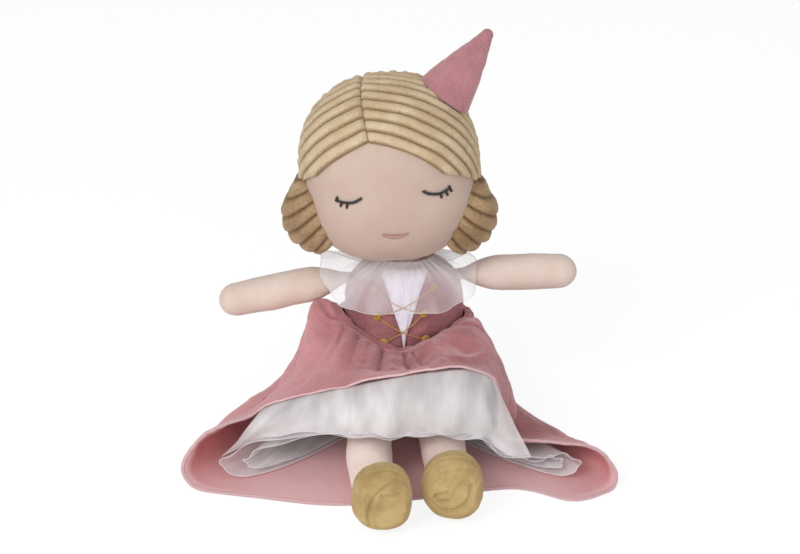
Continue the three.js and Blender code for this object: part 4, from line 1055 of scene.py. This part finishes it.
def leg(side):
    pivot = hip_pivot(side)
    root = pivot + vec(0, -TAB_REACH, 0)
    ankle = LEG_SHAPE[side]["ankle"]
    distance = np.linalg.norm(ankle - root)
    radius = LEG_RADIUS
    stations = [-TAB_REACH - TAB_KNUCKLE, -TAB_REACH - 1, -TAB_REACH + 1, -3, 1, 5, 10, 15,
                0.45 * distance, 0.8 * distance, distance - 3, distance]
    heights = [0.6, 1.9, 2.4, 3.2, 0.42 * radius, 0.66 * radius, 0.88 * radius, 0.97 * radius,
               radius, 0.97 * radius, 0.92 * radius, 0.8 * radius]
    widths = [6.6, 6.9, 7, 7.1, 0.62 * radius, 0.78 * radius, 0.92 * radius, 0.99 * radius,
              1.02 * radius, 0.98 * radius, 0.93 * radius, 0.8 * radius]
    place = np.linspace(stations[0], distance, 110)
    t = np.clip(place / distance, 0, 1)
    lift = soft_step(0, 15, place)
    middles = root + (ankle - root) * t[:, None]
    middles[:, 0] += LEG_SHAPE[side]["bow"] * np.sin(np.pi * t)
    middles[:, 1] = np.where(place < 0, root[1] - place, middles[:, 1])
    middles[:, 2] = root[2] + (LEG_AXIS_HEIGHT - root[2]) * lift
    w, h = smooth(stations, widths, place), smooth(stations, heights, place)
    rings = limb_rings(w, h, middles, vec(-1, 0, 0), vec(0, 0, 1), 80)
    way = unit(rings - middles[:, None, :])
    folds = 0.45 * wobble(rings, 26, 61 + side) + 0.05 * wobble(rings, 5, 63)
    folds = folds * (soft_step(6, 20, place) * soft_step(distance, distance - 14, place))[:, None]
    rings = rings + way * folds[..., None]
    shape = Shape()
    shape.loft(rings)
    name = SIDE_NAMES[side]
    piece = shape.make(f"{name}_stuffed_leg", None, [FINISH["leg"]])
    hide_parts(f"{name}_hip_tab", f"{name}_leg")
    start, stop = (root + vec(0, 4, 0)) * MM, (root + vec(0, -4, 0)) * MM
    tuple(start)
    tuple(stop)
    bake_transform(piece)


SHOE_HALF = vec(16.8, 14.5, 18.6)
SHOE_SQUARENESS = 2.35
SOLE_DEPTH, SOLE_THICKNESS = 7.5, 3
SHOE_SEAM_Y, SHOE_SEAM_DEPTH, SHOE_CREASE_DEPTH = -4.2, 0.9, 1.3
SHOE_PLACE = {1: {"middle": vec(26.5, -133, 19.2), "yaw": 3, "pitch": -3},
              -1: {"middle": vec(-12.3, -145.3, 18.9), "yaw": 7, "pitch": 0}}

# Creases in the shoes' fronts, across and up from the middle of each, as seen from in front.
SHOE_CREASES = {
    1: [[(-15, 3), (-10.5, 8), (-5, 12), (2, 14), (9, 13), (14, 9)],
        [(-10.3, -0.2), (-11.6, -4.6), (-7.6, -8.8), (-1, -10.4), (6, -6.1), (8.6, -1), (9.3, 4.5)],
        [(-3.8, -4.4), (-7.5, -4.2), (-9.8, -2.4), (-8, -0.2), (-4.3, 0.4)]],
    -1: [[(-7.9, -12.8), (-8.6, -6), (-7.9, -1.2), (-5.8, 4.7), (-2, 9.2), (1.8, 12), (9, 14), (14, 11)],
         [(-1, 6.5), (3, 5), (8, 6.5)]],
}


def crease_depth(x, z, lines):
    depth = 0
    for line in lines:
        path = curve([(a, b, 0) for a, b in line], 40)
        gap = np.sqrt((x[..., None] - path[:, 0]) ** 2 + (z[..., None] - path[:, 1]) ** 2).min(axis=-1)
        depth = depth + bell(gap, 0, 0.85) - 0.3 * bell(gap, 2.4, 1.5)
    return depth


def shoe(side):
    place = SHOE_PLACE[side]
    rows, around = 130, 150
    directions = ball_directions((0, 1, 0), np.linspace(np.pi - POLE_HOLE, POLE_HOLE, rows), around)
    n = SHOE_SQUARENESS
    reach = (np.abs(directions / SHOE_HALF) ** n).sum(axis=-1) ** (-1 / n)
    points = directions * reach[..., None]
    flat = -SOLE_DEPTH - SOLE_THICKNESS
    depth = points[..., 1]
    dome = flat - 0.9 + 1.5 * (np.hypot(points[..., 0] / 16, points[..., 2] / 18)) ** 4
    front = np.minimum(0, depth - dome)
    points[..., 1] = depth - front * soft_step(0, 1.5, -front)
    facing = soft_step(-4, -9, points[..., 1])
    points[..., 1] += SHOE_CREASE_DEPTH * facing * crease_depth(points[..., 0], points[..., 2], SHOE_CREASES[side])
    out = unit(points / SHOE_HALF**2)
    puckers = 0.4 * wobble(points, 5, 71 + side) * bell(points[..., 2], 6, 9) * facing
    lumps = 0.5 * wobble(points, 22, 73 + side) + 0.1 * wobble(points, 6, 75)
    seam = SHOE_SEAM_DEPTH * bell(points[..., 1], SHOE_SEAM_Y, 0.7) * (1 - facing)
    points = points + out * (lumps + puckers - seam)[..., None]
    yaw, pitch = math.radians(place["yaw"]), math.radians(place["pitch"])
    c, s = math.cos(pitch), math.sin(pitch)
    tilt = np.array([[1, 0, 0], [0, c, -s], [0, s, c]])
    c, s = math.cos(yaw), math.sin(yaw)
    turn = np.array([[c, -s, 0], [s, c, 0], [0, 0, 1]])
    points = points @ (turn @ tilt).T + place["middle"]
    points[..., 2] = np.maximum(points[..., 2], 0.2)
    shape = Shape()
    shape.loft(points)
    name = SIDE_NAMES[side]
    piece = shape.make(f"{name}_stuffed_shoe", f"{name}_leg", [FINISH["suede"]])
    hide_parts(f"{name}_shoe", f"{name}_sole")


# The gown. Each row of its tables runs down from the waist, at so many degrees round it from the front.

SKIRT_ROWS = [
    [0, (0, -44, 57), (0, -70, 62), (-2, -93, 67.4)],
    [18, (13, -42, 62), (16, -68, 67), (20, -91, 69.6)],
    [36, (27, -35, 68), (33, -62, 69), (37, -85, 67.4)],
    [52, (38, -25, 72), (47, -52, 64), (49, -82, 62)],
    [66, (46, -16, 67), (59, -50, 47), (54, -78, 51)],
    [78, (49, -11, 57), (66, -54, 27), (55, -75, 37)],
    [90, (51, -5, 44), (59, -58, 14), (56, -74, 20.5)],
    [102, (52, 1, 32), (72, -52, 11), (70, -79, 20)],
    [114, (53, 7, 22), (86, -52, 10), (87, -85, 23)],
    [126, (54, 12, 15), (92, -50, 10), (106, -90, 22.5)],
    [136, (53, 18, 8), (97, -48, 5.5), (118, -96, 14)],
    [145, (47, 22, 3), (92, -46, 0.8), (121, -100, 5)],
    [153, (40, 27, 2.5), (80, -45, 0), (115, -107, 0)],
    [162, (30, 31, 0), (58, -46, 0), (94, -117, 0)],
    [171, (15, 33, 0), (34, -48, 0), (62, -103, 0)],
    [180, (0, 34, 0), (0, -50, 0), (14, -114, 0)],
    [189, (-15, 33, 0), (-30, -48, 0), (-38, -122, 0)],
    [198, (-30, 31, 0), (-58, -46, 0), (-84, -113, 0)],
    [207, (-41, 28, 3), (-79, -45, 0), (-113, -106, 0)],
    [216, (-49, 24, 10), (-92, -46, 2), (-124, -100, 4)],
    [227, (-54, 18, 22), (-97, -46, 9), (-126.3, -95, 11)],
    [239, (-55, 11, 34), (-100, -46, 22), (-122, -90, 20)],
    [253, (-55, 3, 46.5), (-82, -46, 27), (-110.5, -85, 29.5)],
    [266, (-55.5, -6, 58), (-78, -44, 30.5), (-93.5, -80, 34.5)],
    [279, (-54, -9, 73), (-65, -40, 44), (-77, -77, 42)],
    [294, (-46, -18, 75), (-58, -46, 53), (-59, -80, 48.5)],
    [313, (-35, -28, 69), (-42, -56, 58), (-42, -84, 54.4)],
    [336, (-17, -39, 61), (-22, -66, 60), (-24, -89, 60.5)],
]

PETTICOAT_ROWS = [
    [0, (0, -44, 47), (1, -76, 45), (0, -107, 35)],
    [24, (18, -38, 50), (24, -70, 49), (24, -109, 37)],
    [48, (33, -24, 52), (43, -62, 46), (44, -104, 32)],
    [64, (39, -18, 46), (49, -54, 27), (55, -98, 20)],
    [80, (42, -11, 38), (56, -50, 9), (70, -92, 14)],
    [106, (44, 5, 22), (71, -44, 8.5), (92, -86, 14.5)],
    [136, (43, 18, 9), (78, -46, 4.6), (101, -92, 9)],
    [152, (34, 24, 3), (66, -46, 1.9), (86, -98, 1.9)],
    [166, (18, 28, 2.8), (32, -48, 1.9), (44, -101, 1.9)],
    [180, (0, 30, 2.8), (0, -50, 1.9), (2, -102, 1.9)],
    [194, (-18, 28, 2.8), (-32, -48, 1.9), (-40, -101, 1.9)],
    [208, (-34, 25, 3), (-64, -46, 1.9), (-88, -98, 1.9)],
    [224, (-42, 20, 12), (-76, -46, 5), (-105, -90, 9)],
    [254, (-46, 4, 34), (-72, -46, 18), (-94, -86, 17)],
    [282, (-44, -10, 50), (-56, -48, 36), (-66, -90, 27)],
    [310, (-34, -26, 54), (-42, -60, 47), (-44, -100, 33)],
    [336, (-17, -38, 50), (-22, -70, 46), (-24, -109, 36)],
]

SKIRT_OUT, PETTICOAT_OUT, PETTICOAT_SEAM_BELOW = 3.55, 1.3, 4.5
VELOUR_THICKNESS = 1.5


def gown_table(rows, out, lower):
    table = []
    for degrees, *points in rows:
        first = on_torso(degrees, waist_height(degrees) - lower, out).reshape(3)
        table.append([first, *points])
    return np.array(table, float)


# Folds of the skirt's front: how high, or deep, how wide, and where each runs.
SKIRT_FOLDS = [
    (-3.2, 1.5, [(-11.9, -40.7, 59.3), (-13.2, -54.6, 60.0), (-14.5, -70.1, 60.8)]),
    (1.5, 2.6, [(-15.9, -40, 60), (-18.0, -54, 60.5), (-20, -68, 60.8)]),
    (1.7, 2.8, [(-6.5, -43, 58.5), (-6.8, -58, 60), (-7.0, -74, 61.5)]),
    (-3.0, 1.4, [(0.5, -46.2, 57.7), (1.2, -61.8, 60.6), (3.3, -80, 66.5)]),
    (1.1, 1.3, [(3.0, -47, 58.5), (5.2, -65, 62.5), (8.0, -82, 67)]),
    (-2.2, 1.4, [(5.4, -48.7, 59.5), (9.2, -69.6, 64.9), (14.0, -82, 68.6)]),
    (1.6, 2.6, [(10, -46, 61), (15, -62, 66), (21, -80, 68.6)]),
    (-4.2, 6.0, [(31.5, -52.7, 69.2), (35.4, -58.9, 68.8)]),
    (2.6, 3.2, [(15.9, -51.9, 65.1), (24.4, -74.0, 68.9), (34.5, -77.2, 68.3), (46.5, -60, 64.3)]),
    (-3.0, 1.8, [(24, -32, 67), (31, -29, 69), (37, -31.8, 71.5), (46.4, -29.3, 66.8)]),
    (-3.6, 1.8, [(-48.7, -12.9, 75.5), (-44.1, -20.4, 74.2), (-37.5, -19.5, 71.0)]),
    (2.0, 4.5, [(-51.7, -14, 73.8), (-57.2, -28.2, 62.1), (-62.3, -42.8, 50.8)]),
    (-2.6, 5.0, [(-43.6, -25.9, 71.4), (-47.7, -41.6, 61.1), (-59.5, -64.2, 49.3)]),
    (-2.4, 1.5, [(-34.4, -28, 68.3), (-38.5, -39.7, 64.7), (-42, -54, 60)]),
    (1.6, 2.6, [(-30, -32, 66), (-34, -45, 63), (-37, -58, 60)]),
    (-2.2, 1.4, [(-26.4, -34, 64.4), (-29.5, -50.0, 61.7), (-31, -62, 60)]),
    (1.4, 2.4, [(-22, -38, 62.5), (-24, -52, 61), (-25.5, -66, 60.5)]),
]


GATHER_DEPTH, WAIST_PUFF, WAIST_TUCK = 0.75, 2.4, 1.5


def distance_to(points, line):
    return np.minimum.reduce([np.linalg.norm(points - p, axis=-1) for p in curve(line, 36)])


def skirt():
    table = gown_table(SKIRT_ROWS, SKIRT_OUT, 0)
    columns, rows = 720, 150
    s = np.arange(columns)[None, :] / columns * len(table)
    down = np.linspace(0, 1, rows)[:, None]
    grid = on_table(table, s, down)
    normal = normals_of(grid, True) * -1
    angle = 2 * np.pi * s / len(table)
    gathers = np.sin(26 * angle + 2.2 * np.sin(3 * angle)) + 0.5 * np.sin(41 * angle)
    gathers = GATHER_DEPTH * gathers * soft_step(0, 0.03, down) * np.exp(-down / 0.13)
    gathers = gathers + WAIST_PUFF * bell(down, 0.085, 0.06) - WAIST_TUCK * soft_step(0.045, 0, down)
    lumps = 1.3 * wobble(grid, 38, 81) + 0.5 * wobble(grid, 15, 82) + 0.12 * wobble(grid, 6, 83)
    free = soft_step(0.02, 0.2, down) * soft_step(1, 18, grid[..., 2])  # from the waist and the floor
    folds = sum(height * bell(distance_to(grid, line), 0, width) for height, width, line in SKIRT_FOLDS)
    folds = folds * soft_step(0, 0.04, down) * soft_step(1.1, 0.85, down)
    grid = grid + normal * (gathers + lumps * free + folds)[..., None]
    shape = Shape()
    degrees = np.interp(s, range(len(table) + 1), [row[0] for row in SKIRT_ROWS] + [360])
    # Where the knit's painted shade gives way to its paler colour: open over the floor behind, and near the hem.
    open_floor = bell(degrees, 181, 27) ** 0.5
    pale = np.maximum(open_floor, soft_step(0.9, 0.99, down))
    shape.cloth(grid[:, ::-1], VELOUR_THICKNESS, wrap=True, floor=0.0, slots=(0, 1, 2),
                coords=stack(s, pale)[:, ::-1])
    overlock(shape, grid, normal)
    piece = shape.make("velour_skirt", None, [FINISH["velour"], FINISH["knit"], FINISH["hem_thread"]])
    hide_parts("skirt_front", "skirt_back")
    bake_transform(piece)


HEM_STITCH = 1.3
BOUND_HEM_DEG = (33, 276)  # the front between them has its net sewn to it instead


def overlock(shape, grid, normal):
    """The stitches that bind the hem: a thread that winds round its cut edge."""
    degrees = [row[0] for row in SKIRT_ROWS] + [360]
    at = np.interp(BOUND_HEM_DEG, degrees, range(len(degrees))) / len(SKIRT_ROWS) * grid.shape[1]
    hem = slice(int(at[0]), int(at[1]))
    out = normal[-1][hem]
    edge = grid[-1][hem] - out * VELOUR_THICKNESS / 2
    inward = unit(grid[-3] - grid[-1])[hem]
    length = length_along(edge)
    turns = round(length[-1] / HEM_STITCH)
    place = np.linspace(0, length[-1], turns * 9)

    def along(values):
        return stack(*(np.interp(place, length, values[:, k]) for k in range(3)))

    turn = (2 * np.pi * place / HEM_STITCH)[:, None]
    path = along(edge) + along(inward) * (0.5 + 0.9 * np.sin(turn))
    path = path + along(out) * (VELOUR_THICKNESS / 2 + 0.2) * np.cos(turn)
    path[:, 2] = np.maximum(path[:, 2], 0.4)
    shape.tube(path, 0.3, along(inward), 5, slot=2)


# How much of each row of its table the petticoat covers: behind, it lies gathered under the legs.
NET_REACH = [1, 1, 1, 1, 1, 1, 1, 0.92, 0.66, 0.5, 0.62, 0.93, 1, 1, 1, 1, 1]
NET_AROUND, NET_DOWN = 420, 120  # the scale of its map, about its own millimetres
# The rolls that its second layer makes at the sides: the middle of each, and the rows around it.
NET_ROLLS = [(vec(-74, -92, 15), 12.4, 1.9), (vec(76, -90, 11), 5.6, 1.9)]


def net_layer(shape, table, out, longer, roll, seed):
    columns, rows = 520, 100
    s = np.arange(columns)[None, :] / columns * len(table)
    down = np.linspace(0, 1, rows)[:, None]
    reach = smooth(range(len(table) + 1), NET_REACH + NET_REACH[:1], s)
    grid = on_table(table, s, down * reach * longer)
    for middle, row, width in NET_ROLLS:
        share = roll * bell(s, row, width) * soft_step(0.4, 0.95, down)
        grid = grid + share[..., None] * (middle - grid)
    angle = 2 * np.pi * s / len(table)
    folds = np.sin(15 * angle + seed + 2.5 * np.sin(3 * angle)) * (0.3 + 0.8 * down)
    net_cloth(shape, grid, out, folds, seed, down, s / len(table) * NET_AROUND, longer, True)


def net_cloth(shape, grid, out, folds, seed, down, across, longer, wrap, slot=0):
    normal = normals_of(grid, wrap) * -1
    folds = folds * soft_step(0, 0.1, down) + 1.2 * wobble(grid * vec(1, 0.55, 1), 26, 90 + seed) * down
    folds = folds * soft_step(2, 9, grid[..., 2])
    grid = grid + normal * (out * soft_step(0, 0.1, down) + folds)[..., None]
    above_skirt = 2.4 + 0.5 * (seed % 2)
    grid[..., 2] = np.maximum(grid[..., 2], above_skirt)
    coords = stack(across, down * longer * NET_DOWN)
    shape.cloth(grid[:, ::-1], NET_THICKNESS, wrap=wrap, coords=coords[:, ::-1], slots=(slot,) * 3)
    shape.tube(grid[-1], 0.17, normal[-1], 6, closed=wrap, slot=1)


VEIL_DEG = (-84, 66)
FOLDED_UNDER = -0.1  # the veil starts above the skirt's hem, inside it


def veil(shape, skirt_table, table):
    """The net's outer layer in front, from the skirt's hem down to the hem of the net. Its sides
    spread out to the loops that the petticoat makes there."""
    degrees = np.linspace(*VEIL_DEG, 300)
    hem_rows, net_rows = ([row[0] for row in rows] + [360] for rows in (SKIRT_ROWS, PETTICOAT_ROWS))
    hem_s = np.interp(degrees % 360, hem_rows, range(len(hem_rows)))[None, :]
    spread = degrees - 1.3 * np.maximum(0, -50 - degrees) + 0.7 * np.maximum(0, degrees - 40)
    net_s = np.interp(spread % 360, net_rows, range(len(net_rows)))[None, :]
    hem = on_table(skirt_table, hem_s, 0.985) + vec(0, 1.0, -2.4)
    above = on_table(skirt_table, hem_s, 0.9) + vec(0, 1.0, -3.0)
    low = on_table(table, net_s, 0.97)
    down = np.linspace(FOLDED_UNDER, 1, 90)[:, None, None]
    outward = vec(0, -7, 3.0) * (4 * down * (1 - down))
    grid = hem + (low - hem) * down + outward
    grid = np.where(down < 0, hem + (hem - above) * down * 6, grid)
    down = down[..., 0]
    across = degrees[None, :] / 360 * NET_AROUND
    folds = (1.1 * np.sin((degrees[None, :] + 20 * down) / 6.3 + 1.5 * np.sin(degrees / 19))
             + 0.6 * np.sin(degrees[None, :] / 2.7 + 5 * down))
    down = np.maximum(0, down)
    net_cloth(shape, grid, 0.0, down * folds, 3, down, across, 0.5, False, 2)


def petticoat():
    table = gown_table(PETTICOAT_ROWS, PETTICOAT_OUT, PETTICOAT_SEAM_BELOW)
    shape = Shape()
    net_layer(shape, table, 0.0, 1.0, 0.0, 1)
    net_layer(shape, table, -1.5, 0.97, 0.4, 2)
    veil(shape, gown_table(SKIRT_ROWS, SKIRT_OUT, 0), table)
    piece = shape.make("net_petticoat", None, [FINISH["net"], FINISH["white_thread"], FINISH["veil"]])
    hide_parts("petticoat_front", "petticoat_back")
    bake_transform(piece)


# Floor, light and camera.

FLOOR_RADIUS = 6
FLOOR_GLOW_SHARE, FLOOR_GLOW, WORLD_LIGHT = 0.76, 1.1, 0.55
LENS, ELEVATION, DISTANCE, TARGET = 82.5, math.radians(22), 1.1, vec(-2.4, 0, 88) * MM


def stage():
    """A plain pale floor, which the camera sees lit evenly, with the doll's shadow on it."""
    mesh = bpy.data.meshes.new("floor")
    a = full_turn(96)
    rim = stack(FLOOR_RADIUS * np.cos(a), FLOOR_RADIUS * np.sin(a), -0.3 * MM)
    mesh.from_pydata(rim.tolist(), [], [tuple(range(len(a)))])
    floor = show("floor", mesh)
    f = Finish("pale_floor", Roughness=0.9, Specular_IOR_Level=0.1)
    base = f.mix(f.noise(400), colour(252, 252, 252), colour(250, 250, 250))
    f.links.new(base, f.shader.inputs["Base Color"])
    white = f.put("ShaderNodeEmission", Color=(1, 1, 1, 1), Strength=FLOOR_GLOW)
    rays = f.nodes.new("ShaderNodeLightPath")
    seen = f.math("MAXIMUM", rays.outputs["Is Camera Ray"], rays.outputs["Is Transmission Ray"])
    share = f.math("MULTIPLY", seen, FLOOR_GLOW_SHARE)
    mixed = f.put("ShaderNodeMixShader", Fac=share)
    f.links.new(f.shader.outputs[0], mixed.inputs[1])
    f.links.new(white.outputs[0], mixed.inputs[2])
    f.links.new(mixed.outputs[0], f.nodes["Material Output"].inputs["Surface"])
    mesh.materials.append(f.material)


def area_light(name, place, aim, size, watts):
    light = bpy.data.lights.new(name, "AREA")
    light.shape = "DISK"
    light.size = size
    light.energy = watts
    lamp = show(name, light)
    lamp.location = place
    lamp.rotation_euler = (Vector(aim) - Vector(place)).to_track_quat("-Z", "Y").to_euler()


def light_and_camera():
    scene = bpy.context.scene
    scene.view_settings.view_transform = "Standard"
    world = bpy.data.worlds.new("soft_white")
    scene.world = world
    world.use_nodes = True
    nodes, links = world.node_tree.nodes, world.node_tree.links
    background = nodes["Background"]
    background.inputs["Color"].default_value = (1, 1, 1, 1)
    rays = nodes.new("ShaderNodeLightPath")
    strength = nodes.new("ShaderNodeMapRange")
    strength.inputs["To Min"].default_value = WORLD_LIGHT
    strength.inputs["To Max"].default_value = 1.0  # as the camera sees it
    links.new(rays.outputs["Is Camera Ray"], strength.inputs["Value"])
    links.new(strength.outputs["Result"], background.inputs["Strength"])
    area_light("key", place=(-0.75, -1.2, 1.05), aim=(0, -0.03, 0.1), size=0.8, watts=11)
    area_light("front", place=(0.15, -1.7, 0.4), aim=(0, -0.03, 0.07), size=1.1, watts=8)
    camera = bpy.data.cameras.new("camera")
    camera.lens = LENS
    camera.sensor_width = 36
    eye = show("camera", camera)
    eye.location = TARGET + DISTANCE * vec(0, -math.cos(ELEVATION), math.sin(ELEVATION))
    eye.rotation_euler = (math.pi / 2 - ELEVATION, 0, 0)
    scene.camera = eye


body()
insert()
lacing()
collar()
neck()
head()
face_features()
hair()
hat()
for side in (1, -1):
    bun(side)
    arm(side)
    leg(side)
    shoe(side)
skirt()
petticoat()
stage()
light_and_camera()

bpy.context.view_layer.update()
